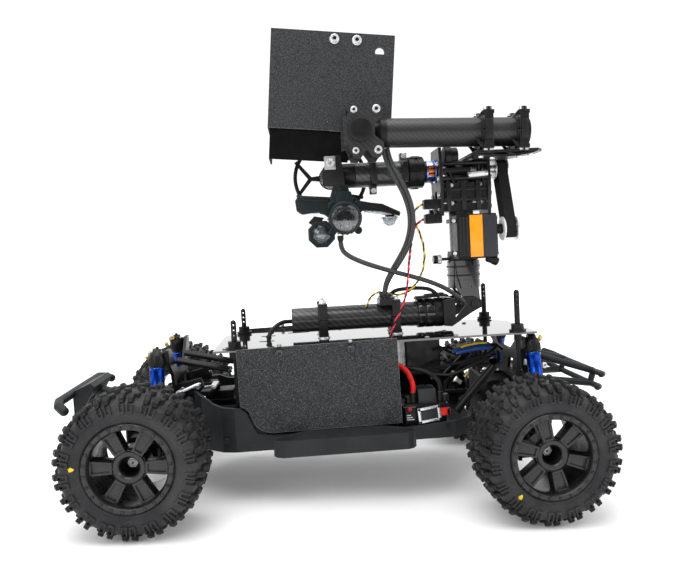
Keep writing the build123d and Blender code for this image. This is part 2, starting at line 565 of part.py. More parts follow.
def servo():
    """Servo box on the near side of the mast, with its output boss."""
    case = fillet(box(131, 171, -33.5, -13.2, 218, 262).edges(), 1.2)
    ears = box(125, 131.05, -32, -14, 222, 226) + box(125, 131.05, -32, -14, 254, 258)
    boss = rod_x(170.5, 178.4, -23, 246, 5)
    return [case + ears + boss - rod_x(170, 180, -23, 246, 3.05)]


def pulleys():
    """Servo pulley with its shaft and two flanges."""
    shaft = rod_x(172, 194, -23, 246, 3.0)
    wheel = rod_x(179, 193.5, -23, 246, BELT_R - 0.1) + rod_x(179, 180.4, -23, 246, 11.5)
    return shaft + wheel + rod_x(192.1, 193.5, -23, 246, 11.5)


def belt():
    """Toothed belt from the servo pulley up to the roll shaft's pulley."""
    y0, z0, y1, z1, r = -23.0, 246.0, 0.0, ROLL_Z, BELT_R
    run = math.hypot(y1 - y0, z1 - z0)
    side = math.degrees(math.atan2(y1 - y0, z1 - z0))

    def loop(rad):
        shape = rod_x(181.4, 191.2, 0, 0, rad) + rod_x(181.4, 191.2, 0, run, rad)
        return shape + box(181.4, 191.2, -rad, rad, 0, run)

    hollow = Pos(-1, 0, 0) * loop(r) + Pos(1, 0, 0) * loop(r)
    return Pos(0, y0, z0) * Rot(-side, 0, 0) * (loop(r + 1.2) - hollow)


def head_slope():
    """Fall of the upper tube towards the rear, in degrees."""
    return math.degrees(math.atan2(HEAD_Z0 - HEAD_Z1, HEAD_X1 - HEAD_X0))


def on_head(shape):
    """Puts a piece drawn along X from the tube's front end onto the sloping upper tube."""
    return Pos(HEAD_X0, HEAD_Y, HEAD_Z0) * Rot(0, head_slope(), 0) * shape


def upper_tube():
    """Upper carbon tube with its rear cap and front plug."""
    long = HEAD_X1 - HEAD_X0
    tube = rod_x(0, long, 0, 0, HEAD_R) - rod_x(-1, long + 1, 0, 0, HEAD_R - TUBE_WALL)
    cap = rod_x(long + 0.1, long + 2.5, 0, 0, HEAD_R) + rod_x(long - 8, long + 1, 0, 0, HEAD_R - TUBE_WALL - 0.02)
    plug = Pos(-4.1, 0, 0) * Rot(0, 90, 0) * Cone(HEAD_R - 4, HEAD_R, 8)
    return [on_head(tube), on_head(cap), on_head(plug + rod_x(-9, 10, 0, 0, 8))]


def head_bracket():
    """Two clamps on the upper tube, and the plate and posts that carry them."""
    solids = []
    for x in (101, 135):
        for piece in tube_clamp(x, 0, 0, 5, HEAD_R, -21, 24):
            solids.append(on_head(piece))
    plate = slab_xy([(146, -58), (206, -58), (212, -50), (212, -30), (186, 14), (150, 22), (146, 10)], 317.6, 320.2)
    solids.append(plate)
    for y in (-8.5, 8.5):
        solids.append(rod_z(294.1, 317.5, 162.5, y, 2.3))
    return solids


def end_plate(y):
    """X-shaped carbon plate that carries the tilt bearing."""
    w, h = 10.4, 18.7
    lobe = 6.4
    cx, cz = TILT_X + 5.5, TILT_Z
    outline = [(-w - lobe, h - 6), (-w - 2, h + lobe), (-w + 5, h + lobe), (0, h - 1), (w - 5, h + lobe),
               (w + 2, h + lobe), (w + lobe, h + 1), (w + lobe - 1, h - 7), (w - 2, 5), (w - 2, -5),
               (w + lobe - 1, 7 - h), (w + lobe, -h - 1), (w + 2, -h - lobe), (w - 5, -h - lobe), (0, 1 - h),
               (5 - w, -h - lobe), (-w - 2, -h - lobe), (-w - lobe, 6 - h), (-w - lobe - 4, 5 - h),
               (-w - lobe - 4, h - 5)]
    plate = slab_xz([(cx + x, cz + z) for x, z in outline], y, y + 2)
    for sx in (-1, 1):
        for sz in (-1, 1):
            plate = plate - rod_y(y - 1, y + 3, cx + sx * w, cz + sz * h, 1.6)
    return plate


def end_plates():
    """Both tilt plates, their four spacer screws, the bearing block and its round cap."""
    near, far = -60.0, -24.0
    cx, cz = TILT_X + 5.5, TILT_Z
    solids = [end_plate(near) - rod_y(near - 1, near + 3, TILT_X, TILT_Z, 5.05),
              end_plate(far) - rod_y(far - 1, far + 3, TILT_X, TILT_Z, 5.05)]
    for sx in (-1, 1):
        for sz in (-1, 1):
            x, z = cx + sx * 10.4, cz + sz * 18.7
            solids.append(rod_y(near + 2.05, far - 0.05, x, z, 2.6))
            solids.append(rod_y(near - 3, near - 0.05, x, z, 2.9))
    barrel = rod_y(near + 2.05, far - 0.05, TILT_X, TILT_Z, 11) - rod_y(near, far, TILT_X, TILT_Z, 5.05)
    solids.append(barrel - on_head(rod_x(-9.1, 10, 0, 0, 8.02)) - on_head(rod_x(-8.3, 12, 0, 0, HEAD_R + 0.2)))
    return solids


def hood():
    """Tilting hood: a textured sheet with turned edges, its inner skirt and the tilt shaft."""
    long, high = 121.5, 95.5
    x0, z0 = -48.6, 356.8

    def turned(shape):
        return Pos(x0, 0, z0) * Rot(0, HOOD_TILT, 0) * shape

    sheet = box(0, long, -18, -16, 0, high)
    sheet = sheet + box(0, 2, -18, 30, 0, high) + box(0, long, -18, 6, high - 2, high)
    sheet = sheet + box(long - 2, long, -18, 6, 34, high)
    peep = rod_y(-20, 0, 107, high - 17, 4.4) - box(100, 114, -21, 1, high - 24, high - 18.9)
    sheet = sheet - peep - rod_y(-20, 0, 57, 9, 1.2)
    screws = []
    for x in (70, 92):
        sheet = sheet - rod_y(-20, 0, x - 8, high - 7, 1.6)
        screws.append(rod_y(-21, -18.05, x - 8, high - 7, 4) + rod_y(-19, -11, x - 8, high - 7, 1.5))
        screws.append(rod_y(-15.9, -13, x - 8, high - 7, 3.2) - rod_y(-20, 0, x - 8, high - 7, 1.55))
    skirt = box(2.2, 80, -15.8, -14.2, -30, 20) + box(2.2, 3.8, -15.8, 29, -30, 20)
    pad = slab_xz([(60, 2), (112, 2), (112, 20), (60, 20)], -15.8, -14)
    shaft = rod_y(-63.2, -15.9, TILT_X, TILT_Z, 5.0) + rod_y(-66.5, -63.2, TILT_X, TILT_Z, 10.8)
    shaft = shaft + rod_y(-21.5, -15.9, TILT_X, TILT_Z, 9)
    arm = slab_xz([(TILT_X - 6, TILT_Z), (TILT_X + 6, TILT_Z), (TILT_X + 12, TILT_Z + 26),
                   (TILT_X - 10, TILT_Z + 26)], -21.5, -18.1)
    return [turned(piece) for piece in [sheet] + screws + [skirt - box(58, 84, -16, -14, 0, 40), pad]] + [shaft + arm]


def roll_arm():
    """Lamp arm: roll shaft, motor bell, carbon tube, its clamps and the hub at its front end."""
    solids = []
    shaft = rod_x(110, 193, 0, ROLL_Z, 4.0) + rod_x(180, 192.6, 0, ROLL_Z, BELT_R - 0.1)
    solids.append(shaft)
    bell = rod_x(108.5, 118.6, 0, ROLL_Z, 11) - rod_x(107, 120, 0, ROLL_Z, 4.02)
    solids.append(bell)
    tube = rod_x(36, 106, 0, ROLL_Z, TUBE_R) - rod_x(35, 107, 0, ROLL_Z, TUBE_R - TUBE_WALL)
    solids.append(tube)
    solids.append(rod_x(96, 108.4, 0, ROLL_Z, TUBE_R - TUBE_WALL - 0.02))
    for x in (54, 86):
        ring = rod_x(x - 3.5, x + 3.5, 0, ROLL_Z, 15.5) - rod_x(x - 5, x + 5, 0, ROLL_Z, TUBE_R + 0.02)
        ring = ring + box(x - 3.5, x + 3.5, -4.5, 4.5, ROLL_Z - 20, ROLL_Z - 13.5)
        solids.append(ring - rod_x(x - 5, x + 5, 0, ROLL_Z, TUBE_R + 0.02))
        solids.append(rod_y(-7.5, -4.55, x, ROLL_Z - 17, 2.6))
    solids.append(rod_x(90, 106, 0, ROLL_Z, 15.8) - rod_x(89.9, 107, 0, ROLL_Z, TUBE_R + 0.02))
    hub = rod_y(-22, 14, 12, ROLL_Z, 11) + rod_x(12, 35.9, 0, ROLL_Z, 11.5)
    solids.append(hub)
    return solids


def ring_wheel():
    """Spoked ring on the front hub."""
    y0, y1, cx = 14.1, 18.1, 12.0
    ring = rod_y(y0, y1, cx, ROLL_Z, 38) - rod_y(y0 - 1, y1 + 1, cx, ROLL_Z, 34.5)
    disc = rod_y(y0, y1, cx, ROLL_Z, 12)
    for k in range(3):
        turn = Pos(cx, 0, ROLL_Z) * Rot(0, 180 + 120 * k, 0)
        stem = slab_xz([(10, -3), (21, -1.8), (21, 1.8), (10, 3)], y0, y1)
        fork_a = slab_xz([(19, -1.5), (34, -19), (36.5, -17), (22, 1.5)], y0, y1)
        fork_b = slab_xz([(19, 1.5), (34, 19), (36.5, 17), (22, -1.5)], y0, y1)
        disc = disc + turn * stem + turn * fork_a + turn * fork_b
    return [ring + disc]


def lamp():
    """Lamp bracket, cross bar, two lamp bodies, their lenses and the small dome."""
    solids = []
    strap = slab_xz([(2, 296), (24, 296), (21, 326), (13, 326), (8, 318), (2, 312)], -25.2, -22.1)
    drop = slab_xz([(12, 297), (26, 297), (30, 282), (28, 272), (14, 272), (8, 284)], -25.2, -22.1)
    nut = Plane.XZ * Pos(11.5, 315, 25.25) * extrude(RegularPolygon(4.2, 6), 3)
    bar = slab_xz([(-25, 274), (-20, 270), (0, 272), (10, 262), (36, 266), (40, 272), (60, 270), (77, 264),
                   (78, 268), (60, 277), (38, 280), (34, 284), (8, 286), (-22, 289), (-26, 284)], -22, -14)
    solids += [strap + drop, nut, bar]
    head = rod_y(-33, -14.1, 22, 264.5, 16) - rod_y(-34, -27, 22, 264.5, 13.4) + rod_y(-13.9, -4, 22, 264.5, 12)
    head = head - slab_xz([(-30, 273), (0, 271.8), (10, 261.9), (36, 265.9), (40, 271.9), (90, 264), (90, 300),
                           (-30, 300)], -22.1, -13.9)
    solids += head.solids()
    solids.append(rod_y(-31, -27.05, 22, 264.5, 13.3))
    low = Plane.XZ * Pos(-1.5, 250, -2) * extrude(RegularPolygon(13.5, 8), 13)
    low = low - slab_xz([(-30, 269.9), (0, 271.9), (10, 261.9), (8, 262), (-30, 262)], -22.1, -13.9)
    low = low - rod_y(-34, -3, 22, 264.5, 16.1)
    solids.append(low.solids().sort_by(SortBy.VOLUME)[-1])
    dome = Pos(67, -18, 262.5) * Sphere(8.2) - box(50, 90, -40, 10, 262.4, 300)
    solids.append(dome)
    solids.append(rod_z(243.5, 247.4, 17, -19, 3.0) + rod_z(243.5, 248.8, 17, -19, 2.0))
    return solids


# ---------------------------------------------------------------- cords
ROUTES = {
    "harness_cable": (4.2, [(57.3, -21, 182.6), (58.5, -22, 195), (64.8, -27, 208), (73, -33, 221), (80.6, -38, 235),
                            (84.6, -43, 251), (84.4, -45.5, 267), (80, -46.5, 283), (73.5, -46.5, 297),
                            (67.5, -45.5, 309), (63.8, -43.5, 319), (62.8, -41.2, 327.6)]),
    "lamp_cable": (2.3, [(17, -19, 241.2), (17, -19.2, 234.0), (23.5, -24, 227), (36, -30, 220.5),
                         (50, -34.5, 215), (66, -36.5, 209.5), (84, -36.5, 204), (100, -36, 198.4),
                         (114, -36, 192), (126, -35.5, 184), (134.5, -32, 176.5), (137, -25, 173.4),
                         (137, -17.7, 173.2)]),
    "yellow_lead": (1.1, [(101.8, -14, 274.3), (95.5, -15.2, 272.5), (90.8, -17.6, 264.5), (93, -20, 254),
                          (97.6, -22, 242), (100.2, -22.6, 226), (98, -22, 209), (91, -20.5, 196),
                          (82.6, -18.5, 187.6), (73, -17, 184.6), (63.8, -15, 187.6), (52.5, -13.4, 189.2),
                          (44, -11.6, 184.8), (40, -9.6, 173.6)]),
    "red_lead": (1.1, [(101.1, -20, 259.4), (94.5, -23, 257), (89, -27, 249), (84.8, -31.5, 234),
                       (81.5, -36, 218), (78.6, -42.5, 203), (75.8, -46.5, 189), (71.4, -49.5, 177),
                       (65.4, -51.5, 167), (60, -52, 157), (57, -52.6, 146.3)]),
}


def tangent_radii(points):
    """The largest arc that each corner's two runs allow."""
    radii = []
    for a, b, c in zip(points, points[1:], points[2:]):
        u, v = Vector(*b) - Vector(*a), Vector(*c) - Vector(*b)
        half_turn = math.radians(u.get_angle(v)) / 2
        radii.append(0.45 * min(u.length, v.length) / math.tan(half_turn))
    return radii


def cord(name):
    """One round cord along its route."""
    r, points = ROUTES[name]
    radii = tangent_radii(points)
    path = FilletPolyline(*points, radius=radii)
    start = Plane(origin=path @ 0, z_dir=path % 0)
    tube = sweep(start * Circle(r), path=path)
    print(name, "length", round(path.length, 1), "radii", [round(q, 1) for q in radii],
          "volume ratio", round(tube.volume / (math.pi * r * r * path.length), 4))
    return tube


def held_leads():
    """Leads that the chassis holds all the way: power leads, and the deck tube's own lead."""
    def lead(points, r):
        path = FilletPolyline(*points, radius=[min(q, 30) for q in tangent_radii(points)])
        return sweep(Plane(origin=path @ 0, z_dir=path % 0) * Circle(r), path=path)

    return [lead([(40, -50, 120), (60, -50, 122), (71.5, -56, 113), (75.2, -59.8, 101.5), (75, -60, 91.3)], 2.5),
            lead([(40, -44, 116), (66, -47, 116), (88, -55, 113), (100.6, -59.8, 102), (101, -60, 91.3)], 2.2),
            lead([(-37, 0, 163), (-47, -2, 162.4), (-56.5, -8, 157), (-61, -14, 149), (-58, -14, 138)], 2.2),
            lead([(63.5, -12, 184.2), (71, -13, 189.5), (88, -15.5, 191), (104, -17.5, 189), (114, -18, 181)], 2.0)]


# ---------------------------------------------------------------- build
for end_name in ENDS:
    for side_name in SIDES:
        corner(end_name, side_name)

save("chassis_tub", lean(tub()))
save("side_loops", *[lean(piece) for piece in both(side_loop())])
save("bumpers", *[lean(piece) for piece in bumpers()])
save("drivetrain", *[lean(piece) for piece in drivetrain()])
save("shock_towers", *[lean(piece) for piece in towers()])
save("deck_plate", lean(deck()))
save("body_posts", *[lean(piece) for piece in posts()])
save("side_panels", *[lean(piece) for piece in side_panels()])
save("battery_pack", *[lean(piece) for piece in battery()])
save("speed_controller", *[lean(piece) for piece in controller()])
save("deck_tube", lean(deck_tube()))
save("deck_clamps", *[lean(piece) for piece in deck_clamps()])
save("fold_base", lean(fold_base()))
save("mast_tube", *[lean(piece) for piece in mast_tube()])
save("mast_frame", *[lean(piece) for piece in mast_frame()])
save("servo_box", *[lean(piece) for piece in servo()])
save("servo_pulley", lean(pulleys()))
save("drive_belt", lean(belt()))
save("upper_tube", *[lean(piece) for piece in upper_tube()])
save("head_bracket", *[lean(piece) for piece in head_bracket()])
save("end_plates", *[lean(piece) for piece in end_plates()])
save("hood", *[lean(piece) for piece in hood()])
save("roll_arm", *[lean(piece) for piece in roll_arm()])
save("ring_wheel", *[lean(piece) for piece in ring_wheel()])
save("lamp_head", *[lean(piece) for piece in lamp()])
for cord_name in ROUTES:
    save(cord_name, lean(cord(cord_name)))
save("held_leads", *[lean(piece) for piece in held_leads()])
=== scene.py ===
import functools
import math
import random

import bmesh
import bpy
from mathutils import Matrix, Vector

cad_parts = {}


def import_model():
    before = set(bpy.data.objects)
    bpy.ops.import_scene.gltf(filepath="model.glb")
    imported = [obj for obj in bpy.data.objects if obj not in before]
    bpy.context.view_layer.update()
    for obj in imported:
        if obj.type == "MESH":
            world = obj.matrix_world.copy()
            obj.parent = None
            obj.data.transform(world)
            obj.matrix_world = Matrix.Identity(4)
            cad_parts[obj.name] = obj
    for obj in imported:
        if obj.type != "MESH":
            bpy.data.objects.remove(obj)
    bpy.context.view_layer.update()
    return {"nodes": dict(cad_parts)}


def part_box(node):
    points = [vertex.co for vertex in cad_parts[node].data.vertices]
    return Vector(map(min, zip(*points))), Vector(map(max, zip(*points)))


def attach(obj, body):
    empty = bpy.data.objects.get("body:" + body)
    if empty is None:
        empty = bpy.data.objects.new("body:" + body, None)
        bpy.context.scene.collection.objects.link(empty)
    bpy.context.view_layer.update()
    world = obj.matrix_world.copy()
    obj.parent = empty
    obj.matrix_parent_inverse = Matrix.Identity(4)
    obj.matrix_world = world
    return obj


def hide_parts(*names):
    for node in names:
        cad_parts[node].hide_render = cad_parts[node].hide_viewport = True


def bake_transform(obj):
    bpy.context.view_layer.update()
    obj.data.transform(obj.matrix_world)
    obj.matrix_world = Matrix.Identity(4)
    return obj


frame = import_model()
MM = 0.001

# ------------------------------------------------------- the frame's own dimensions (mm, level chassis)
NOSE_DOWN = 2.67                 # degrees that the chassis leans on its springs
WHEELBASE, TYRE_R, TYRE_HALF = 348.0, 61.5, 32.0
ARM_IN_Y, ARM_OUT_Y, ARM_IN_Z, CARRIER_DROP = 30.0, 86.0, 58.0, 16.0
SHOCK_TOP_Y, SHOCK_LOW_Y, BOSS_RISE, PIN_R, EYE_CLEAR = 50.0, 74.0, 9.2, 1.5, 1.3
DECK_TOP = 146.0
TUBE_R, TUBE_Z = 12.5, 163.7     # deck tube
MAST_X, ROLL_Z = 144.0, 308.0
HEAD_R, HEAD_X, HEAD_Y, HEAD_Z = 13.8, 58.0, -40.0, 342.8
HEAD_LONG = 141.0                # upper tube, which falls by 4.4 over its length
HEAD_FALL = math.degrees(math.atan2(4.4, HEAD_LONG))
TILT_X, TILT_Z = 37.5, 343.0
HOOD_X, HOOD_Z, HOOD_TILT = -48.6, 356.8, 5.4
HUB_X, LAMP_X, LAMP_Z = 12.0, 22.0, 264.5        # the lamp arm's front hub and its round lamp
DOME = (67.0, -18.0, 262.2)                      # clear dome at the rear end of the lamp bar
PULLEY_YZ = (-23.0, 246.0)                       # servo pulley
MOTOR_YZ, GEAR_Z, GEAR_TEETH = (32.0, 82.0), 78.0, 60

LEAN = Matrix.Rotation(math.radians(-NOSE_DOWN), 4, "Y")
CORNERS = [f"{end}_{side}" for end in ("front", "rear") for side in ("near", "far")]
UP = Vector((0, 0, 1))


# ---------------------------------------------------------------- material nodes
def add(tree, kind, **values):
    """A node with the given inputs and properties; _ stands for a space in an input's name."""
    node = tree.nodes.new("ShaderNode" + kind)
    for key, value in values.items():
        socket = node.inputs.get(key.replace("_", " "))
        if socket is not None:
            socket.default_value = value
        else:
            setattr(node, key, value)
    return node


def start(name, metal=0.0, coat=0.0, coat_rough=0.05, spec=0.5):
    """A new material with its plain shader values set, and its object coordinates."""
    mat = bpy.data.materials.new(name)
    mat.use_nodes = True
    tree = mat.node_tree
    shader = tree.nodes["Principled BSDF"]
    shader.inputs["Metallic"].default_value = metal
    shader.inputs["Coat Weight"].default_value = coat
    shader.inputs["Coat Roughness"].default_value = coat_rough
    shader.inputs["Specular IOR Level"].default_value = spec
    return mat, tree, shader, add(tree, "TexCoord").outputs["Object"]


def noise(tree, at, scale, detail=4.0, rough=0.55):
    """Noise over the given coordinates."""
    node = add(tree, "TexNoise", Scale=scale, Detail=detail, Roughness=rough)
    tree.links.new(at, node.inputs["Vector"])
    return node.outputs["Fac"]


def spread(tree, value, low, high, out_low=0.0, out_high=1.0):
    """A value's range stretched onto another."""
    node = add(tree, "MapRange", From_Min=low, From_Max=high, To_Min=out_low, To_Max=out_high)
    tree.links.new(value, node.inputs["Value"])
    return node.outputs["Result"]


def blend_colours(tree, factor, first, second):
    """A mix of two colours, each a plain tuple or a socket."""
    node = add(tree, "Mix", data_type="RGBA")
    tree.links.new(factor, node.inputs["Factor"])
    for socket, colour in ((node.inputs[6], first), (node.inputs[7], second)):
        if isinstance(colour, tuple):
            socket.default_value = (*colour, 1)
        else:
            tree.links.new(colour, socket)
    return node.outputs[2]


def maths(tree, operation, first, second=None):
    """One arithmetic step on sockets or numbers."""
    node = add(tree, "Math", operation=operation)
    for socket, value in zip(node.inputs, (first, second)):
        if value is None:
            continue
        if isinstance(value, (int, float)):
            socket.default_value = value
        else:
            tree.links.new(value, socket)
    return node.outputs[0]


def raise_grain(tree, shader, height, depth, soft=0.0):
    """Bump from a height socket, over edges softened by the given radius in metres."""
    bump = add(tree, "Bump", Strength=1.0, Distance=depth)
    tree.links.new(height, bump.inputs["Height"])
    if soft:
        rounded = add(tree, "Bevel", samples=4, Radius=soft)
        tree.links.new(rounded.outputs["Normal"], bump.inputs["Normal"])
    tree.links.new(bump.outputs["Normal"], shader.inputs["Normal"])


def cover(tree, shader, colour, rough):
    """The shader's colour and roughness, both from sockets."""
    tree.links.new(colour, shader.inputs["Base Color"])
    tree.links.new(rough, shader.inputs["Roughness"])


def edge_highlight_mask(tree, radius):
    """1 close to a sharp edge and 0 on open surfaces, for painting highlights along edges."""
    rounded = add(tree, "Bevel", samples=4, Radius=radius)
    place = add(tree, "NewGeometry")
    dot = add(tree, "VectorMath", operation="DOT_PRODUCT")
    tree.links.new(rounded.outputs["Normal"], dot.inputs[0])
    tree.links.new(place.outputs["Normal"], dot.inputs[1])
    return spread(tree, dot.outputs["Value"], 0.995, 0.82)


@functools.lru_cache(None)
def finish(name, low, high, rough=(0.4, 0.6), scale=60.0, metal=0.0, bump=0.00002, grain=900.0, coat=0.0,
           soft=0.0004, spec=0.22, edge=None, dust=None):
    """A surface of two close tones with its own gloss variation, fine grain, dusty places, and a painted
    highlight along its sharp edges.
    """
    mat, tree, shader, at = start(name, metal, coat, spec=spec)
    tone = spread(tree, noise(tree, at, scale), 0.3, 0.7)
    colour = blend_colours(tree, tone, low, high)
    if dust:
        patches = spread(tree, noise(tree, at, 38, 6, 0.62), 0.5, 0.72)
        colour = blend_colours(tree, patches, colour, dust)
    # painted highlight: the edge colour, lighter than the surface, is laid along sharp edges
    if edge:
        colour = blend_colours(tree, edge_highlight_mask(tree, 0.0006), colour, edge)
    cover(tree, shader, colour, spread(tree, noise(tree, at, scale * 2.3, 3), 0.3, 0.7, *rough))
    raise_grain(tree, shader, noise(tree, at, grain, 3), bump, soft)
    return mat


@functools.lru_cache(None)
def powder_coat():
    """Coarse wrinkle coat on sheet metal: painted shade in the hollows, painted highlight on the crests that
    catch the light, painted glint specks, and a painted highlight along the edges.
    """
    mat, tree, shader, at = start("coarse_powder_coat", spec=0.25)
    crests = noise(tree, at, 820, 5, 0.72)
    # painted shade and highlight: the wrinkle's hollows are darker and its crests lighter, following the
    # bump
    crest_light_hollow_shade = spread(tree, crests, 0.40, 0.66)
    colour = blend_colours(tree, crest_light_hollow_shade, (0.004, 0.0045, 0.005), (0.046, 0.050, 0.052))
    cloud = spread(tree, noise(tree, at, 16, 3), 0.35, 0.7, 0.0, 0.35)
    colour = blend_colours(tree, cloud, colour, (0.026, 0.029, 0.031))
    # painted glints: small light specks
    sparkle = spread(tree, noise(tree, at, 1500, 2, 0.6), 0.60, 0.70)
    colour = blend_colours(tree, sparkle, colour, (0.17, 0.175, 0.18))
    # painted highlight along the sheet's edges
    colour = blend_colours(tree, edge_highlight_mask(tree, 0.0007), colour, (0.20, 0.20, 0.20))
    cover(tree, shader, colour, spread(tree, crests, 0.3, 0.7, 0.75, 0.45))
    raise_grain(tree, shader, crests, 0.00035)
    return mat


def twill(tree, u, v, thread):
    """Over and under of a two-by-two twill on two lengths in metres: (mask, height)."""
    do = functools.partial(maths, tree)
    a = do("DIVIDE", u, thread)
    b = do("DIVIDE", v, thread)
    step = do("ADD", do("FLOOR", a), do("FLOOR", b))
    over = do("LESS_THAN", do("FLOORED_MODULO", step, 4.0), 1.5)
    across = do("ABSOLUTE", do("SUBTRACT", do("FRACT", a), 0.5))
    along = do("ABSOLUTE", do("SUBTRACT", do("FRACT", b), 0.5))
    first = do("MULTIPLY", over, do("SUBTRACT", 0.5, across))
    under = do("SUBTRACT", 1.0, over)
    second = do("MULTIPLY", under, do("SUBTRACT", 0.5, along))
    return over, do("ADD", first, second)


def carbon(name, centre, turn, radius, rough, contrast, thread=0.0017, coat=0.5):
    """Carbon twill wrapped round a tube (or lying flat where radius is 0) whose own X axis is given."""
    mat, tree, shader, at = start(name, coat=coat, coat_rough=rough)
    own = add(tree, "Mapping", vector_type="TEXTURE", Location=Vector(centre) * MM,
              Rotation=tuple(math.radians(a) for a in turn))
    tree.links.new(at, own.inputs["Vector"])
    parts = add(tree, "SeparateXYZ")
    tree.links.new(own.outputs["Vector"], parts.inputs["Vector"])
    u = parts.outputs["X"]
    if radius:
        around = maths(tree, "ARCTAN2", parts.outputs["Y"], parts.outputs["Z"])
        v = maths(tree, "MULTIPLY", around, radius * MM)
    else:
        v = parts.outputs["Z"]
    over, height = twill(tree, u, v, thread)
    # painted sheen: the tows of one direction are lighter than the other, though both are the same black
    # fibre
    painted_tow_sheen = maths(tree, "MULTIPLY", over, spread(tree, noise(tree, at, 120, 3), 0.3, 0.7, 0.75, 1.0))
    dark = (0.005, 0.0055, 0.006)
    light = (contrast * 0.75, contrast * 0.75, contrast * 0.78)
    cover(tree, shader, blend_colours(tree, painted_tow_sheen, dark, light), spread(tree, over, 0, 1, 0.52, 0.34))
    raise_grain(tree, shader, height, 0.00012 if radius else 0.00003, 0.0003)
    return mat


@functools.lru_cache(None)
def braid():
    """Woven sleeve over a cord, from the strand's own length and turn coordinates."""
    mat, tree, shader, at = start("braided_sleeve")
    do = functools.partial(maths, tree)
    uv = add(tree, "UVMap", uv_map="run")
    parts = add(tree, "SeparateXYZ")
    tree.links.new(uv.outputs["UV"], parts.inputs["Vector"])
    u = do("DIVIDE", parts.outputs["X"], 0.0034)
    v = do("MULTIPLY", parts.outputs["Y"], 6.0)
    first = do("PINGPONG", do("ADD", u, v), 0.5)
    second = do("PINGPONG", do("SUBTRACT", u, v), 0.5)
    height = do("MAXIMUM", first, second)
    # painted highlight: the raised crests of the weave are lighter than the grooves
    crest_highlight = spread(tree, height, 0.38, 0.5)
    fuzz = spread(tree, noise(tree, at, 700, 3), 0.3, 0.7, 0.6, 1.0)
    crest_highlight = do("MULTIPLY", crest_highlight, fuzz)
    colour = blend_colours(tree, crest_highlight, (0.003, 0.003, 0.0035), (0.12, 0.12, 0.125))
    cover(tree, shader, colour, spread(tree, height, 0, 0.5, 0.7, 0.45))
    raise_grain(tree, shader, height, 0.0004)
    return mat


@functools.lru_cache(None)
def rubber(name, low, high, dust, rough):
    """Tyre rubber with moulding dust and scuffs."""
    mat, tree, shader, at = start(name, spec=0.22)
    tone = spread(tree, noise(tree, at, 70, 6, 0.6), 0.32, 0.68)
    colour = blend_colours(tree, tone, low, high)
    patches = spread(tree, noise(tree, at, 24, 6, 0.65), 0.48, 0.75)
    colour = blend_colours(tree, patches, colour, dust)
    specks = spread(tree, noise(tree, at, 850, 2), 0.64, 0.72)
    colour = blend_colours(tree, specks, colour, tuple(min(1, c * 1.6) for c in dust))
    cover(tree, shader, colour, spread(tree, noise(tree, at, 90, 4), 0.3, 0.7, *rough))
    raise_grain(tree, shader, noise(tree, at, 1100, 3), 0.00006, 0.0003)
    return mat


@functools.lru_cache(None)
def clear_plastic(name, tint, rough):
    """Clear lens plastic with faint moulding waves."""
    mat, tree, shader, at = start(name)
    shader.inputs["Transmission Weight"].default_value = 1.0
    shader.inputs["IOR"].default_value = 1.49
    waves = spread(tree, noise(tree, at, 90, 3), 0.3, 0.7)
    colour = blend_colours(tree, waves, tint, tuple(min(1, c * 1.04) for c in tint))
    cover(tree, shader, colour, spread(tree, waves, 0, 1, rough, rough + 0.03))
    raise_grain(tree, shader, noise(tree, at, 200, 2), 0.00002)
    return mat


def grey(level, blue=None):
    """A neutral tone, or one with its own blue."""
    return level, level, blue or level


MOULDING = finish("matt_moulding", (0.012, 0.013, 0.0145), (0.019, 0.020, 0.022), (0.42, 0.56), 45,
                  bump=0.00004, grain=1300, soft=0.0008)
ARM = finish("arm_plastic", grey(0.005, 0.0055), grey(0.011, 0.012), (0.36, 0.52), 60, bump=0.00004)
BLACK = finish("black_plastic", grey(0.0045, 0.005), grey(0.009, 0.010), (0.30, 0.46), 60)
# edge= paints a lighter highlight along sharp edges
CLAMP = finish("black_anodised", grey(0.005, 0.0055), grey(0.010, 0.011), (0.30, 0.42), 80, spec=0.3,
               edge=grey(0.045, 0.05))
GLOSS = finish("gloss_black", grey(0.006, 0.007), grey(0.010, 0.011), (0.08, 0.16), 40, coat=1.0,
               bump=0.000004)
DECK = finish("mirror_deck", grey(0.010, 0.011), grey(0.016, 0.017), (0.03, 0.07), 25, coat=1.0,
              bump=0.000002, soft=0.0003, spec=0.9)
STEEL = finish("bright_steel", grey(0.66, 0.67), grey(0.84, 0.85), (0.22, 0.40), 160, metal=0.75,
               bump=0.00001)
DULL_STEEL = finish("dull_steel", grey(0.26, 0.27), grey(0.46, 0.47), (0.28, 0.48), 160, metal=0.85)
DARK_STEEL = finish("dark_steel", grey(0.04, 0.045), grey(0.09, 0.10), (0.28, 0.42), 150, metal=1.0)
# edge= paints a light blue highlight along sharp edges
BLUE = finish("blue_anodised", (0.004, 0.032, 0.26), (0.008, 0.060, 0.42), (0.20, 0.32), 130, metal=0.9,
              bump=0.00001, edge=(0.15, 0.35, 0.95))
BRASS = finish("brass", (0.55, 0.38, 0.12), (0.80, 0.62, 0.25), (0.22, 0.36), 180, metal=1.0)
COPPER = finish("copper_winding", (0.62, 0.15, 0.03), (0.95, 0.30, 0.06), (0.28, 0.42), 900, metal=1.0,
                bump=0.0002, grain=1400)
RIM = finish("rim_satin", grey(0.005, 0.0055), grey(0.010, 0.011), (0.24, 0.36), 60, bump=0.00002, spec=0.5)
GEAR = finish("gearbox_plastic", grey(0.005, 0.006), grey(0.010, 0.011), (0.40, 0.58), 60, dust=grey(0.020))
WRAP = finish("battery_wrap", grey(0.006, 0.007), grey(0.012, 0.013), (0.22, 0.36), 50, bump=0.00012,
              grain=160)
RUBBER_BELT = finish("belt_rubber", grey(0.005), grey(0.009), (0.55, 0.75), 200, bump=0.00006)
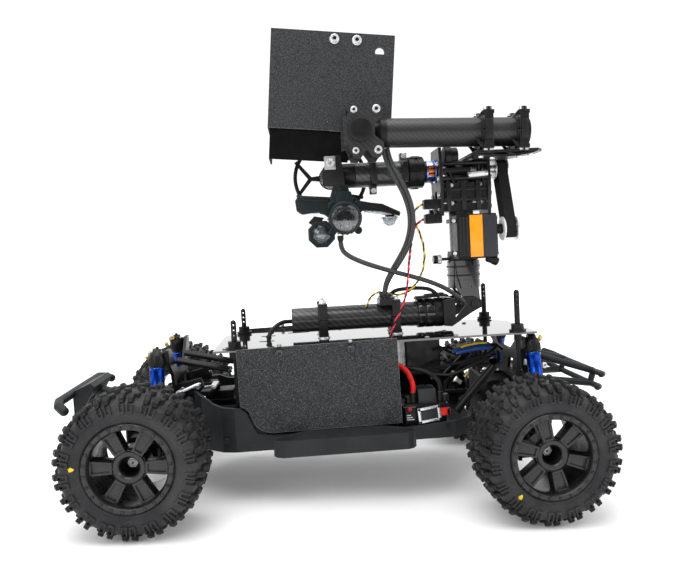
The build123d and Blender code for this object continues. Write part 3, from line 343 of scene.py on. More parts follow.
# edge= paints a lighter teal highlight along sharp edges
LAMP = finish("lamp_teal_black", (0.004, 0.008, 0.009), (0.008, 0.014, 0.0155), (0.30, 0.45), 90,
              edge=(0.030, 0.050, 0.053))
RED = finish("red_silicone", (0.50, 0.010, 0.010), (0.68, 0.022, 0.018), (0.36, 0.50), 200)
YELLOW = finish("yellow_insulation", (0.62, 0.44, 0.02), (0.80, 0.60, 0.05), (0.34, 0.46), 200)
LEAD_RED = finish("red_insulation", (0.62, 0.015, 0.035), (0.80, 0.03, 0.06), (0.34, 0.46), 200)
LEAD_BLACK = finish("black_insulation", grey(0.004, 0.0045), grey(0.008, 0.009), (0.32, 0.46), 200)
ORANGE = finish("orange_label", (0.80, 0.27, 0.010), (0.90, 0.34, 0.018), (0.26, 0.38), 60, coat=0.3)
BLUE_RING = finish("pale_blue_anodised", (0.22, 0.30, 0.72), (0.34, 0.44, 0.90), (0.18, 0.30), 160,
                   metal=1.0)
ORANGE_WIRE = finish("orange_insulation", (0.62, 0.14, 0.015), (0.76, 0.20, 0.03), (0.36, 0.5), 200)
BLUE_WRAP = finish("blue_shrink", (0.020, 0.060, 0.24), (0.035, 0.095, 0.33), (0.28, 0.42), 120)
GREY_CASE = finish("grey_case", (0.024, 0.026, 0.029), (0.034, 0.036, 0.040), (0.34, 0.46), 60)
# a black inner panel, made darker and less glossy than the other black plastic as painted shade under the
# hood
HOOD_INNER_SHADE = finish("hood_inner_black_shade", grey(0.0025, 0.003), grey(0.005, 0.0055), (0.60, 0.78), 60, spec=0.06)
WHITE = finish("white_nylon", grey(0.70, 0.69), grey(0.82, 0.81), (0.36, 0.50), 90)
SIDEWALL = rubber("tyre_sidewall", grey(0.015, 0.0165), grey(0.029, 0.031), (0.050, 0.049, 0.048),
                  (0.40, 0.58))
TREAD = rubber("tyre_tread", grey(0.005, 0.0055), grey(0.012, 0.013), (0.022, 0.0215, 0.021),
               (0.40, 0.62))
LENS = clear_plastic("clear_lens", (0.95, 0.97, 0.98), 0.01)
GREY_LENS = clear_plastic("grey_lens", (0.50, 0.53, 0.55), 0.04)
SLEEVE = braid()
COAT = powder_coat()


# ---------------------------------------------------------------- shapes, as (points, faces) in mm
def from_bmesh(bm):
    """Points and faces of a bmesh, which is freed."""
    bm.verts.ensure_lookup_table()
    points = [v.co.copy() for v in bm.verts]
    faces = [tuple(v.index for v in f.verts) for f in bm.faces]
    bm.free()
    return points, faces


@functools.lru_cache(None)
def chamfered(sizes, soft, segments=2):
    """A block about the origin with rounded edges."""
    bm = bmesh.new()
    bmesh.ops.create_cube(bm, size=1.0)
    bmesh.ops.scale(bm, vec=sizes, verts=bm.verts)
    if soft:
        bmesh.ops.bevel(bm, geom=list(bm.edges), offset=soft, segments=segments, profile=0.6, affect="EDGES")
    return from_bmesh(bm)


def block(x0, x1, y0, y1, z0, z1, soft=0.4):
    """A rounded block between two corners."""
    points, faces = chamfered((abs(x1 - x0), abs(y1 - y0), abs(z1 - z0)), soft)
    middle = Vector(((x0 + x1) / 2, (y0 + y1) / 2, (z0 + z1) / 2))
    return [p + middle for p in points], faces


def prism(outline, low, high, soft=0.4, plane="xz"):
    """A plate with rounded edges from an outline in one plane, between two places on the third axis."""
    bm = bmesh.new()
    lift = {"xz": lambda a, b, c: (a, c, b), "xy": lambda a, b, c: (a, b, c)}[plane]
    rings = [[bm.verts.new(lift(a, b, c)) for a, b in outline] for c in (low, high)]
    bm.faces.new(rings[0])
    bm.faces.new(list(reversed(rings[1])))
    for k in range(len(outline)):
        n = (k + 1) % len(outline)
        bm.faces.new((rings[0][k], rings[1][k], rings[1][n], rings[0][n]))
    if soft:
        bmesh.ops.bevel(bm, geom=list(bm.edges), offset=soft, segments=2, profile=0.6, affect="EDGES",
                        clamp_overlap=True)
    return from_bmesh(bm)


def turned(profile, sides=32, closed=False):
    """A turned shape about Z from (radius, height) points; closed joins the last point to the first."""
    points, rings = [], []
    angles = [2 * math.pi * k / sides for k in range(sides)]
    for r, h in profile:
        if r < 1e-6:
            rings.append([len(points)] * sides)
            points.append(Vector((0, 0, h)))
        else:
            rings.append([len(points) + k for k in range(sides)])
            points += [Vector((r * math.cos(a), r * math.sin(a), h)) for a in angles]
    pairs = list(zip(rings, rings[1:])) + ([(rings[-1], rings[0])] if closed else [])
    faces = []
    for a, b in pairs:
        for k in range(sides):
            n = (k + 1) % sides
            face = list(dict.fromkeys((a[k], a[n], b[n], b[k])))
            if len(face) > 2:
                faces.append(tuple(face))
    return points, faces


def bar_profile(r, long, soft):
    """Half section of a bar with small chamfers."""
    s = min(soft, r * 0.45, long * 0.45)
    return [(0, 0), (r - s, 0), (r, s), (r, long - s), (r - s, long), (0, long)]


def frame_at(a, b):
    """A frame at a whose Z points to b."""
    way = Vector(b) - Vector(a)
    return Matrix.Translation(Vector(a)) @ UP.rotation_difference(way).to_matrix().to_4x4()


def moved(part, place):
    """A part put somewhere else."""
    return [place @ p for p in part[0]], part[1]


LIE_X = Matrix.Rotation(math.pi / 2, 4, "Y")     # turned shapes then run towards +X


def along_x(part, x, y, z):
    """A turned part laid down along X from a place."""
    return moved(part, Matrix.Translation((x, y, z)) @ LIE_X)


def about_x(y, z, degrees):
    """A turn about the line along X through a place."""
    return Matrix.Translation((0, y, z)) @ Matrix.Rotation(math.radians(degrees), 4, "X")


def lathe(profile, a, b, sides=32, closed=False):
    """A turned part whose axis starts at a and points to b."""
    return moved(turned(profile, sides, closed), frame_at(a, b))


def bar(a, b, r, soft=0.3, sides=28):
    """A round bar between two points."""
    long = (Vector(b) - Vector(a)).length
    return lathe(bar_profile(r, long, soft), a, b, sides)


def pipe(a, b, r, wall, sides=40):
    """An open tube between two points."""
    long = (Vector(b) - Vector(a)).length
    s = min(0.25, wall / 3)
    profile = [(r - wall, s), (r - wall + s, 0), (r - s, 0), (r, s), (r, long - s), (r - s, long),
               (r - wall + s, long), (r - wall, long - s)]
    return lathe(profile, a, b, sides, closed=True)


def socket_screw(at, out, r, tall, recess=0.5):
    """A cap screw: a round head with a six-sided hole, standing along out from at."""
    hole = r * recess
    deep = tall * 0.55
    head = [(0, 0), (r - 0.15, 0), (r, 0.2), (r, tall - r * 0.16), (r - r * 0.16, tall), (hole * 1.12, tall)]
    points, faces = turned(head, 24)
    base = len(points)
    inner = [(hole, tall - 0.1), (hole, tall - deep), (0, tall - deep)]
    more, extra = turned([(hole * 1.12, tall)] + inner, 24)
    flat = []
    for p in more:
        angle = math.atan2(p.y, p.x)
        radius = math.hypot(p.x, p.y)
        if radius > 1e-6 and p.z < tall - 0.01:
            turn = (angle % (math.pi / 3)) - math.pi / 6
            radius *= math.cos(math.pi / 6) / math.cos(turn)
        flat.append(Vector((radius * math.cos(angle), radius * math.sin(angle), p.z)))
    points += flat
    faces += [tuple(base + i for i in f) for f in extra]
    return moved((points, faces), frame_at(at, Vector(at) + Vector(out)))


def hex_nut(at, out, across, tall, bore):
    """A six-sided nut with a bore, standing along out from at."""
    s = 0.3
    profile = [(bore, 0), (across - s, 0), (across, s), (across, tall - s), (across - s, tall), (bore, tall)]
    return lathe(profile, at, Vector(at) + Vector(out), 6, closed=True)


def rail(points):
    """Frames without twist along a line of points: (place, side, up) for each."""
    out, side = [], None
    for k, p in enumerate(points):
        ahead = (points[min(k + 1, len(points) - 1)] - points[max(k - 1, 0)]).normalized()
        if side is None:
            side = ahead.cross(Vector((0, 1, 0)) if abs(ahead.y) < 0.9 else UP).normalized()
        side = (side - ahead * side.dot(ahead)).normalized()
        out.append((p, side, ahead.cross(side)))
    return out


def strand(points, r, sides=12, offset=lambda s: (0.0, 0.0)):
    """A round strand along a line, at offset(length) beside it, with its run coordinates."""
    rings, lengths, gone = [], [], 0.0
    for k, (p, side, up) in enumerate(rail(points)):
        gone += (p - points[k - 1]).length if k else 0.0
        a, b = offset(gone)
        middle = p + side * a + up * b
        rings.append([middle + (side * math.cos(q) + up * math.sin(q)) * r
                      for q in (2 * math.pi * n / sides for n in range(sides))])
        lengths.append(gone)
    verts = [v for ring in rings for v in ring]
    faces, runs = [], []
    for k in range(len(rings) - 1):
        for n in range(sides):
            m = (n + 1) % sides
            faces.append((k * sides + n, k * sides + m, (k + 1) * sides + m, (k + 1) * sides + n))
            runs.append([(lengths[k], n / sides), (lengths[k], (n + 1) / sides),
                         (lengths[k + 1], (n + 1) / sides), (lengths[k + 1], n / sides)])
    for ring, turn in ((0, -1), (len(rings) - 1, 1)):
        faces.append(tuple(ring * sides + n for n in range(sides))[::turn])
        runs.append([(lengths[ring], 0.0)] * sides)
    return verts, faces, runs


def smooth_line(points, steps=8):
    """A smooth line through a few points."""
    pts = [Vector(p) for p in points]
    pts = [pts[0] * 2 - pts[1]] + pts + [pts[-1] * 2 - pts[-2]]
    line = []
    for a, b, c, d in zip(pts, pts[1:], pts[2:], pts[3:]):
        for k in range(steps):
            t = k / steps
            line.append(0.5 * (2 * b + (c - a) * t + (2 * a - 5 * b + 4 * c - d) * t * t
                               + (3 * b - 3 * c + d - a) * t ** 3))
    return line + [pts[-2]]


class Piece:
    """Collects parts into one named object."""

    def __init__(self, name, *materials):
        self.name, self.materials = name, materials
        self.points, self.faces, self.kinds, self.runs = [], [], [], []

    def put(self, part, kind=0, place=None):
        """Adds a part, with the number of its material."""
        base = len(self.points)
        points = part[0] if place is None else [place @ p for p in part[0]]
        self.points += points
        self.faces += [tuple(base + i for i in f) for f in part[1]]
        self.kinds += [kind] * len(part[1])
        self.runs += part[2] if len(part) > 2 else [None] * len(part[1])
        return self

    def make(self, body, slot, place=None, replaces=(), metres=False, sharp=35.0):
        """Writes the object, on the leaning chassis unless another place is given."""
        mesh = bpy.data.meshes.new(self.name)
        mesh.from_pydata(self.points, [], self.faces)
        for polygon, kind in zip(mesh.polygons, self.kinds):
            polygon.material_index = kind
            polygon.use_smooth = True
        if any(self.runs):
            layer = mesh.uv_layers.new(name="run")
            for polygon, run in zip(mesh.polygons, self.runs):
                for loop, uv in zip(polygon.loop_indices, run or []):
                    layer.data[loop].uv = uv
        bm = bmesh.new()
        bm.from_mesh(mesh)
        bmesh.ops.recalc_face_normals(bm, faces=bm.faces)
        bm.to_mesh(mesh)
        bm.free()
        size = Matrix.Identity(4) if metres else Matrix.Scale(MM, 4)
        mesh.transform((LEAN if place is None else place) @ size)
        if (LEAN if place is None else place).determinant() < 0:
            mesh.flip_normals()
        mesh.set_sharp_from_angle(angle=math.radians(sharp))
        for material in self.materials:
            mesh.materials.append(material)
        obj = bpy.data.objects.new(self.name, mesh)
        bpy.context.scene.collection.objects.link(obj)
        if body:
            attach(obj, body)
        if replaces:
            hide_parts(*replaces)
        return obj


# ---------------------------------------------------------------- camera, light, floor
def camera():
    """The viewing place: slightly above the deck, looking a little down and to the rear."""
    yaw, pitch, roll = (math.radians(a) for a in (3.76, 3.44, 0.4))
    ahead = Vector((math.sin(yaw) * math.cos(pitch), math.cos(yaw) * math.cos(pitch), -math.sin(pitch)))
    right = Vector((math.cos(yaw), -math.sin(yaw), 0))
    down = ahead.cross(right)
    across = right * math.cos(roll) + down * math.sin(roll)
    below = down * math.cos(roll) - right * math.sin(roll)
    data = bpy.data.cameras.new("view")
    data.lens, data.sensor_width = 34.42, 36.0
    data.clip_start = 0.01
    eye = bpy.data.objects.new("view", data)
    turn = Matrix((across, -below, -ahead)).transposed().to_4x4()
    eye.matrix_world = Matrix.Translation((-0.0373, -0.6658, 0.2375)) @ turn
    bpy.context.scene.collection.objects.link(eye)
    bpy.context.scene.camera = eye


def soft_box(name, at, to, size, power):
    """A square area light aimed at a point."""
    data = bpy.data.lights.new(name, "AREA")
    data.shape, data.size, data.energy = "SQUARE", size, power
    lamp = bpy.data.objects.new(name, data)
    aim = (Vector(to) - Vector(at)).to_track_quat("-Z", "Y").to_matrix().to_4x4()
    lamp.matrix_world = Matrix.Translation(at) @ aim
    bpy.context.scene.collection.objects.link(lamp)


def studio():
    """Pale floor, white surroundings and soft boxes."""
    world = bpy.data.worlds.new("studio")
    bpy.context.scene.world = world
    world.use_nodes = True
    tree = world.node_tree
    around = add(tree, "SeparateXYZ")
    tree.links.new(add(tree, "TexCoord").outputs["Generated"], around.inputs["Vector"])
    lift = maths(tree, "MULTIPLY", around.outputs["Z"], 0.6)
    back = maths(tree, "MULTIPLY", around.outputs["Y"], 0.7)
    glow = spread(tree, maths(tree, "ADD", lift, back), -0.6, 0.35, 0.12, 1.1)
    seen = add(tree, "LightPath").outputs["Is Camera Ray"]
    shown = maths(tree, "MAXIMUM", seen, glow)
    tree.links.new(shown, tree.nodes["Background"].inputs["Strength"])
    tree.nodes["Background"].inputs["Color"].default_value = (1, 1, 1, 1)
    soft_box("overhead", (-0.25, -0.3, 1.6), (0, 0, 0.1), 1.5, 22)
    soft_box("front_fill", (-1.0, -1.4, 0.9), (0, 0, 0.2), 0.8, 9)
    soft_box("side_fill", (1.5, -0.7, 0.8), (0, 0, 0.2), 0.7, 6)
    scene = bpy.context.scene
    scene.view_settings.view_transform = "Standard"
    mat, tree, shader, at = start("pale_floor", spec=0.2)
    tone = spread(tree, noise(tree, at, 3, 3), 0.3, 0.7)
    tree.links.new(blend_colours(tree, tone, (0.86, 0.86, 0.86), (0.89, 0.89, 0.89)),
                   shader.inputs["Base Color"])
    shader.inputs["Roughness"].default_value = 0.6
    away = add(tree, "VectorMath", operation="LENGTH")
    tree.links.new(at, away.inputs[0])
    # painted light: the floor glows, faintly near the model, which lightens the shadows on it, and fully far
    # away, where it becomes the white backdrop
    shader.inputs["Emission Color"].default_value = (1, 1, 1, 1)
    tree.links.new(spread(tree, away.outputs["Value"], 0.55, 1.5, 0.10, 1.0),
                   shader.inputs["Emission Strength"])
    mesh = bpy.data.meshes.new("floor")
    half = 6.0
    mesh.from_pydata([(-half, -half, 0), (half, -half, 0), (half, half, 0), (-half, half, 0)], [],
                     [(0, 1, 2, 3)])
    mesh.materials.append(mat)
    floor = bpy.data.objects.new("floor", mesh)
    bpy.context.scene.collection.objects.link(floor)


# ---------------------------------------------------------------- cords (mm, level chassis)
HARNESS = [(57.3, -21, 182.6), (58.5, -22, 195), (64.8, -27, 208), (73, -33, 221), (80.6, -38, 235),
           (84.6, -43, 251), (84.4, -45.5, 267), (80, -46.5, 283), (73.5, -46.5, 297), (67.5, -45.5, 309),
           (63.8, -43.5, 319), (62.8, -41.2, 327.6)]
LAMP_CABLE = [(17, -19, 241.2), (17, -19.2, 234.0), (23.5, -24, 227), (36, -30, 220.5), (50, -34.5, 215),
              (66, -36.5, 209.5), (84, -36.5, 204), (100, -36, 198.4), (114, -36, 192), (126, -35.5, 184),
              (134.5, -32, 176.5), (137, -25, 173.4), (137, -17.7, 173.2)]
YELLOW_LEAD = [(101.8, -14, 274.3), (95.5, -15.2, 272.5), (90.8, -17.6, 264.5), (93, -20, 254),
               (97.6, -22, 242), (100.2, -22.6, 226), (98, -22, 209), (91, -20.5, 196), (82.6, -18.5, 187.6),
               (73, -17, 184.6), (63.8, -15, 187.6), (52.5, -13.4, 189.2), (44, -11.6, 184.8),
               (40, -9.6, 173.6)]
RED_LEAD = [(101.1, -20, 259.4), (94.5, -23, 257), (89, -27, 249), (84.8, -31.5, 234), (81.5, -36, 218),
            (78.6, -42.5, 203), (75.8, -46.5, 189), (71.4, -49.5, 177), (65.4, -51.5, 167), (60, -52, 157),
            (57, -52.6, 146.3)]


def route_line(points):
    """A cord's smooth line in metres, read from the NURBS spline of its route."""
    data = bpy.data.curves.new("route", "CURVE")
    data.dimensions = "3D"
    data.resolution_u = 14
    spline = data.splines.new("NURBS")
    spline.points.add(len(points) - 1)
    for point, place in zip(spline.points, points):
        point.co = (*(LEAN @ (Vector(place) * MM)), 1.0)
    spline.order_u = 3
    spline.use_endpoint_u = True
    holder = bpy.data.objects.new("route", data)
    bpy.context.scene.collection.objects.link(holder)
    bpy.context.view_layer.update()
    mesh = bpy.data.meshes.new_from_object(holder.evaluated_get(bpy.context.evaluated_depsgraph_get()))
    line = [v.co.copy() for v in mesh.vertices]
    bpy.data.objects.remove(holder)
    bpy.data.meshes.remove(mesh)
    return line


def cord(name, node, points, strands, slot):
    """A cord along its route, between two bodies; strands are (radius, offset, sides, material)."""
    line = route_line(points)
    piece = Piece(name, *[material for *_, material in strands])
    for number, (radius, offset, sides, _) in enumerate(strands):
        piece.put(strand(line, radius * MM, sides, offset), number)
    obj = piece.make(None, slot, Matrix.Identity(4), metres=True, sharp=60)
    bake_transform(obj)
    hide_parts(node)


def wind(reach, start_turn, turns_per_metre, phase=0.0):
    """Offset of a strand that winds round the line."""
    def place(run):
        """Sideways place at a length along the line, in metres."""
        angle = start_turn + phase + run * turns_per_metre * 2 * math.pi
        return reach * MM * math.cos(angle), reach * MM * math.sin(angle)
    return place


def world(x, y, z):
    """A level place in mm as a point in the frame, in metres."""
    return LEAN @ (Vector((x, y, z)) * MM)


def cords():
    """The harness, the lamp's cable and the two twisted leads."""
    r, reach = 2.15, 2.0
    cord("harness_braid", "harness_cable", HARNESS, [(r, wind(reach, math.pi / 2, 1.6, p), 16,
                                                      SLEEVE) for p in (0.0, math.pi)], "cable_sleeve")
    cord("lamp_cable_braid", "lamp_cable", LAMP_CABLE, [(2.3, wind(0, 0, 0), 18, SLEEVE)], "cable_sleeve")
    r, reach = 0.74, 0.50
    for name, node, points, colour, slot in (
            ("yellow_pair", "yellow_lead", YELLOW_LEAD, YELLOW, "twisted_yellow"),
            ("red_pair", "red_lead", RED_LEAD, LEAD_RED, "twisted_red")):
        strands = [(r, wind(reach, 0, 78, p), 10, m) for p, m in ((0.0, colour), (math.pi, LEAD_BLACK))]
        cord(name, node, points, strands, slot)


# ---------------------------------------------------------------- wheels (axis along Y, open face at -Y)
SECTORS = 18                     # groups of knobs round the tyre
TURN = 2 * math.pi / SECTORS
PAIR = 0.066                     # half angle between the two knobs of a pair


def on_wheel(angle, radius, y, tip=0.0):
    """A frame on the tyre: X round it, Y across it, Z outwards, tipped towards its side."""
    out = Matrix.Rotation(angle, 4, "Y") @ Matrix.Translation((0, y, radius))
    return out @ Matrix.Rotation(tip, 4, "X")


def knob(w, d, h):
    """A tread block about the origin that narrows upwards."""
    points, faces = chamfered((w, d, h), min(w, d, h) * 0.10, 1)
    shrink = [1 - 0.14 * (p.z / h + 0.5) for p in points]
    return [Vector((p.x * f, p.y * f, p.z)) for p, f in zip(points, shrink)], faces


def side_block():
    """Raised block with a sunk middle, open at its outer end, as on the sidewall."""
    u = [(-2.5, -4.0), (2.5, -4.0), (2.5, 4.2), (1.3, 4.2), (1.3, -2.4), (-1.3, -2.4), (-1.3, 4.2),
         (-2.5, 4.2)]
    return prism(u, 0, 1.7, 0.18, "xy")


def tyre_piece(name):
    """Knobbly tyre: carcass, tread rows, the paired blocks of its sidewalls and the paint dab on it."""
    dab_turn = math.radians(-138 if name == "rear_near" else -88)
    piece = Piece(name + "_tyre_rubber", SIDEWALL, TREAD, YELLOW)
    half = [(35.4, 27.4), (36.8, 29.4), (38.4, 30.3), (39.2, 30.0), (39.9, 30.2), (43.0, 31.2), (46.5, 31.7),
            (50.0, 31.2), (53.2, 29.4), (55.2, 26.4), (56.3, 21.5), (56.9, 14.0), (57.2, 6.0)]
    inner = [(56.0, 0), (54.6, 16), (50.5, 25), (42, 27.2), (37.5, 25.4), (35.4, 24.0)]
    shell = [(r, y) for r, y in half] + [(57.3, 0)] + [(r, -y) for r, y in reversed(half)]
    shell += [(r, -y) for r, y in reversed(inner)] + inner[1:]
    lie = Matrix.Rotation(-math.pi / 2, 4, "X")
    piece.put(turned(shell, SECTORS * 6, closed=True), 0, lie)
    rand = random.Random(7)
    for sector in range(SECTORS):
        base = sector * TURN
        for side in (-1, 1):
            for pair in (-1, 1):
                jog = rand.uniform(-0.004, 0.004)
                angle = base + pair * PAIR + jog
                for part, kind, radius, y, tip in ((knob(5.0, 7.0, 7.4), 1, 56.2, 25.4, 34),
                                                   (knob(3.9, 3.6, 3.0), 1, 55.2, 28.4, 60),
                                                   (side_block(), 0, 49.6, 31.0, 80)):
                    piece.put(part, kind, on_wheel(angle, radius, side * y, -side * math.radians(tip)))
            between = base + TURN / 2
            for size, angle, radius, y, tip in (((6.6, 7.0, 6.8), between - 0.075, 56.6, 18.0, 0.14),
                                                ((5.2, 6.0, 6.6), between + 0.085, 56.6, 17.0, 0.14),
                                                ((6.0, 6.6, 6.6), base + side * 0.06, 57.8, 8.4, 0),
                                                ((5.0, 5.4, 6.6), between + side * 0.05, 57.9, 5.0, 0)):
                piece.put(knob(*size), 1, on_wheel(angle, radius, side * y, -side * tip))
    dab = [(1.7 * math.cos(a) * (1 + 0.25 * math.sin(3 * a)),
            2.3 * math.sin(a) * (1 + 0.2 * math.cos(5 * a)))
           for a in (2 * math.pi * k / 18 for k in range(18))]
    piece.put(prism(dab, 0, 0.35, 0.1, "xy"), 2, on_wheel(dab_turn, 43.4, -31.35, math.radians(88)))
    return piece


def rim_piece(name):
    """Six-spoke rim: barrel, bolted ring, spokes with sunk panels, hub, nut and axle."""
    piece = Piece(name + "_rim_shell", RIM, DARK_STEEL, DULL_STEEL, BLACK)
    lie = Matrix.Rotation(math.pi / 2, 4, "X")      # turned shapes then run towards -Y
    face = TYRE_HALF - 0.8
    stop = 14 if name == "rear_near" else 0         # where the wheel came to rest
    barrel = [(31.6, face - 1.2), (32.4, face), (36.2, face), (36.9, face - 0.7), (36.9, face - 3.2),
              (34.9, face - 5), (34.9, -26.8), (36.4, -28.6), (36.4, -30.6), (33.4, -30.8), (32.8, -29.6),
              (31.2, 12.0), (31.0, face - 8.5), (30.8, face - 5.0)]
    piece.put(turned(barrel, 96, closed=True), 0, lie)
    groove = [(32.3, face - 0.02), (32.7, face + 0.55), (36.0, face + 0.55), (36.4, face - 0.02)]
    piece.put(turned(groove, 96), 0, lie)
    for k in range(24):
        angle = 2 * math.pi * (k + 0.5) / 24
        at = Vector((34.35 * math.cos(angle), -face - 0.5, 34.35 * math.sin(angle)))
        boss = turned([(1.55, 0), (1.55, 0.22), (1.3, 0.42), (0, 0.42)], 12)
        piece.put(boss, 3, frame_at(at, at - Vector((0, 1, 0))))
        piece.put(socket_screw(at - Vector((0, 0.3, 0)), (0, -1, 0), 0.95, 0.55), 1)
    for k in range(6):
        turn = Matrix.Rotation(math.radians(60 * k + stop), 4, "Y")
        body = [(10.5, -4.9), (32.0, -6.7), (32.0, 6.7), (10.5, 4.9)]
        piece.put(prism(body, -face + 6.0, -face + 17, 0.9), 0, turn)
        for s in (-1, 1):
            border = [(13, s * 2.9), (31.6, s * 4.2), (31.6, s * 6.4), (13, s * 4.8)]
            piece.put(prism(border, 4.6 - face, 7 - face, 0.45), 0, turn)
        for x0, x1, half in ((13, 15.2, 3.6), (29.4, 31.7, 4.6)):
            piece.put(block(x0, x1, 4.6 - face, 7 - face, -half, half), 0, turn)
    hub = [(8.2, 24.6), (9.4, 25.8), (12.6, 25.8), (14.2, 23.6), (14.6, 18), (13.6, 8), (13.2, 0), (7.0, 0),
           (3.2, 0.2), (3.2, 4.0), (8.0, 4.2)]
    piece.put(turned(hub, 48, closed=True), 0, lie)
    for k in range(6):
        turn = Matrix.Rotation(math.radians(60 * k + 30 + stop), 4, "Y")
        piece.put(block(11.6, 14.2, -24.4, -12, -1.6, 1.6, 0.5), 0, turn)
    piece.put(hex_nut((0, -8.2, 0), (0, -1, 0), 4.6, 4.4, 3.05), 2)
    piece.put(bar((0, 22, 0), (0, -13, 0), 2.95, 0.5), 2)
    # painted shade: a small dark hexagon on the axle's end stands for its shadowed socket
    piece.put(lathe([(1.2, 0), (1.2, 1.2), (0, 1.2)], (0, -12.2, 0), (0, -13.4, 0), 6), 1)
    piece.put(hex_nut((0, 10.8, 0), (0, -1, 0), 6.8, 5.4, 3.05), 1)
    return piece


def wheels():
    """A tyre and a rim at each corner, on the wheel's own body."""
    for name in CORNERS:
        low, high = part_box(name + "_tyre")
        middle = (low + high) / 2
        place = Matrix.Translation(middle)
        if name.endswith("far"):
            place = place @ Matrix.Rotation(math.pi, 4, "Z")
        tyre_piece(name).make(name + "_wheel", "tyre", place, [name + "_tyre"], sharp=40)
        rim_piece(name).make(name + "_wheel", "rim_plastic", place, [name + "_rim"], sharp=38)


# ---------------------------------------------------------------- suspension
def level(x, z):
    """A place on the ground frame as level coordinates."""
    a = math.radians(NOSE_DOWN)
    return x * math.cos(a) + z * math.sin(a), -x * math.sin(a) + z * math.cos(a)


def shock_frame(name):
    """Where a shock hangs: its frame with Z up along it, and its length between pins."""
    front = name.startswith("front")
    xa, za = level(-WHEELBASE / 2 if front else WHEELBASE / 2, TYRE_R)
    xs = xa + (8 if front else 18.5)
    top = 146.0 if front else 138.0
    arm_out = za - CARRIER_DROP
    pin_z = ARM_IN_Z + (arm_out - ARM_IN_Z) * (SHOCK_LOW_Y - ARM_IN_Y) / (ARM_OUT_Y - ARM_IN_Y) + BOSS_RISE
    dy, dz = SHOCK_LOW_Y - SHOCK_TOP_Y, top - pin_z
    angle = math.atan2(dy, dz)
    place = Matrix.Translation((xs, SHOCK_TOP_Y, top)) @ Matrix.Rotation(angle, 4, "X")
    if name.endswith("near"):
        place = Matrix.Scale(-1, 4, (0, 1, 0)) @ place
    return place, math.hypot(dy, dz)


def spring_line(z0, z1, r, turns):
    """A spring's wire with its two closed end turns."""
    steps = 22 * turns
    line = []
    for k in range(steps + 1):
        t = k / steps
        rise = min(1.0, max(0.0, (t * turns - 0.8) / (turns - 1.6)))
        angle = 2 * math.pi * turns * t
        line.append(Vector((r * math.cos(angle), r * math.sin(angle), z0 + (z1 - z0) * rise)))
    return line


def ribs(r, low, high, count, size):
    """Small upright ribs round a cylinder."""
    out = []
    for k in range(count):
        turn = Matrix.Rotation(2 * math.pi * k / count, 4, "Z")
        out.append(moved(block(r - 0.5, r + size, -size * 0.8, size * 0.8, low, high, size * 0.3), turn))
    return out


def shocks():
    """Blue damper bodies, their caps and collars, shafts and springs."""
    for name in CORNERS:
        place, long = shock_frame(name)
        body = Piece(name + "_damper", BLUE, BLACK, BRASS, STEEL)
        cap = [(0, 1.5), (4.2, 1.5), (6.6, -0.6), (7.5, -3.0), (7.7, -4.0), (7.7, -12.2), (7.2, -13.4),
               (6.7, -14.2)]
        body.put(turned(cap, 40), 1, place)
        for part in ribs(7.6, -12, -5, 20, 0.5):
            body.put(part, 1, place)
        tube = [(6.6, -14.0), (7.15, -14.6), (7.15, -16.8), (6.8, -17.3), (6.8, -38.6), (7.2, -39.2),
                (7.2, -40.0)]
        body.put(turned(tube, 48), 0, place)
        collar = [(6.6, -40.0), (8.3, -40.0), (8.6, -40.8), (8.6, -46.4), (8.2, -47.2), (6.7, -47.2)]
        body.put(turned(collar, 40), 1, place)
        for part in ribs(8.4, -46.6, -40.6, 18, 0.6):
            body.put(part, 1, place)
        body.put(turned([(6.7, -47), (6.7, -49.4), (5.6, -50.4), (1.7, -50.4)], 36), 1, place)
        eye = [(1.6, -3.8), (4.2, -3.8), (4.7, -3.2), (4.7, 3.2), (4.2, 3.8), (1.6, 3.8)]
        body.put(turned(eye, 28, closed=True), 1, place @ LIE_X)
        body.put(bar((-4.6, 0, 0), (4.6, 0, 0), 1.9), 3, place)
        body.put(bar((0, 0, 2.8), (0, 0, 6.4), 1.5, 0.4), 1, place)
        body.make(name + "_shock", "shock_blue", replaces=[name + "_shock_body"])

        shaft = Piece(name + "_damper_shaft", STEEL, BLACK)
        shaft.put(bar((0, 0, -long + 5), (0, 0, -29), 1.5, 0.2), 0, place)
        perch = [(1.5, -long + 6), (3.4, -long + 6.4), (4.6, -long + 8.4), (9.2, -long + 9),
                 (9.4, -long + 10), (9.2, -long + 11.6), (7.4, -long + 12.2), (1.5, -long + 12.2)]
        shaft.put(turned(perch, 40, closed=True), 1, place)
        eye_hole = PIN_R + EYE_CLEAR
        ring = [(eye_hole, -3.8), (eye_hole + 1.5, -3.8), (eye_hole + 1.9, -3.3), (eye_hole + 1.9, 3.3),
                (eye_hole + 1.5, 3.8), (eye_hole, 3.8)]
        shaft.put(turned(ring, 28, closed=True), 1, place @ Matrix.Translation((0, 0, -long)) @ LIE_X)
        shaft.put(bar((0, 0, -long + 4), (0, 0, -long + 8), 2.4), 1, place)
        shaft.make(name + "_shaft", "shock_steel", replaces=[name + "_shock_shaft"])

        wire = strand(spring_line(-long + 12.9, -47.9, 8.4, 5), 0.75, 8)
        spring = Piece(name + "_spring", DARK_STEEL).put(wire, 0, place)
        obj = spring.make(None, "shock_steel", sharp=60)
        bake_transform(obj)


# ---------------------------------------------------------------- hood, end plates, upper tube
def on_head(part):
    """A part drawn along X from the upper tube's front end, put on the sloping tube."""
    tilt = Matrix.Rotation(math.radians(HEAD_FALL), 4, "Y")
    return moved(part, Matrix.Translation((HEAD_X, HEAD_Y, HEAD_Z)) @ tilt)


def on_hood(part):
    """A part drawn on the upright hood, put on the tilted one."""
    tilt = Matrix.Rotation(math.radians(HOOD_TILT), 4, "Y")
    return moved(part, Matrix.Translation((HOOD_X, 0, HOOD_Z)) @ tilt)


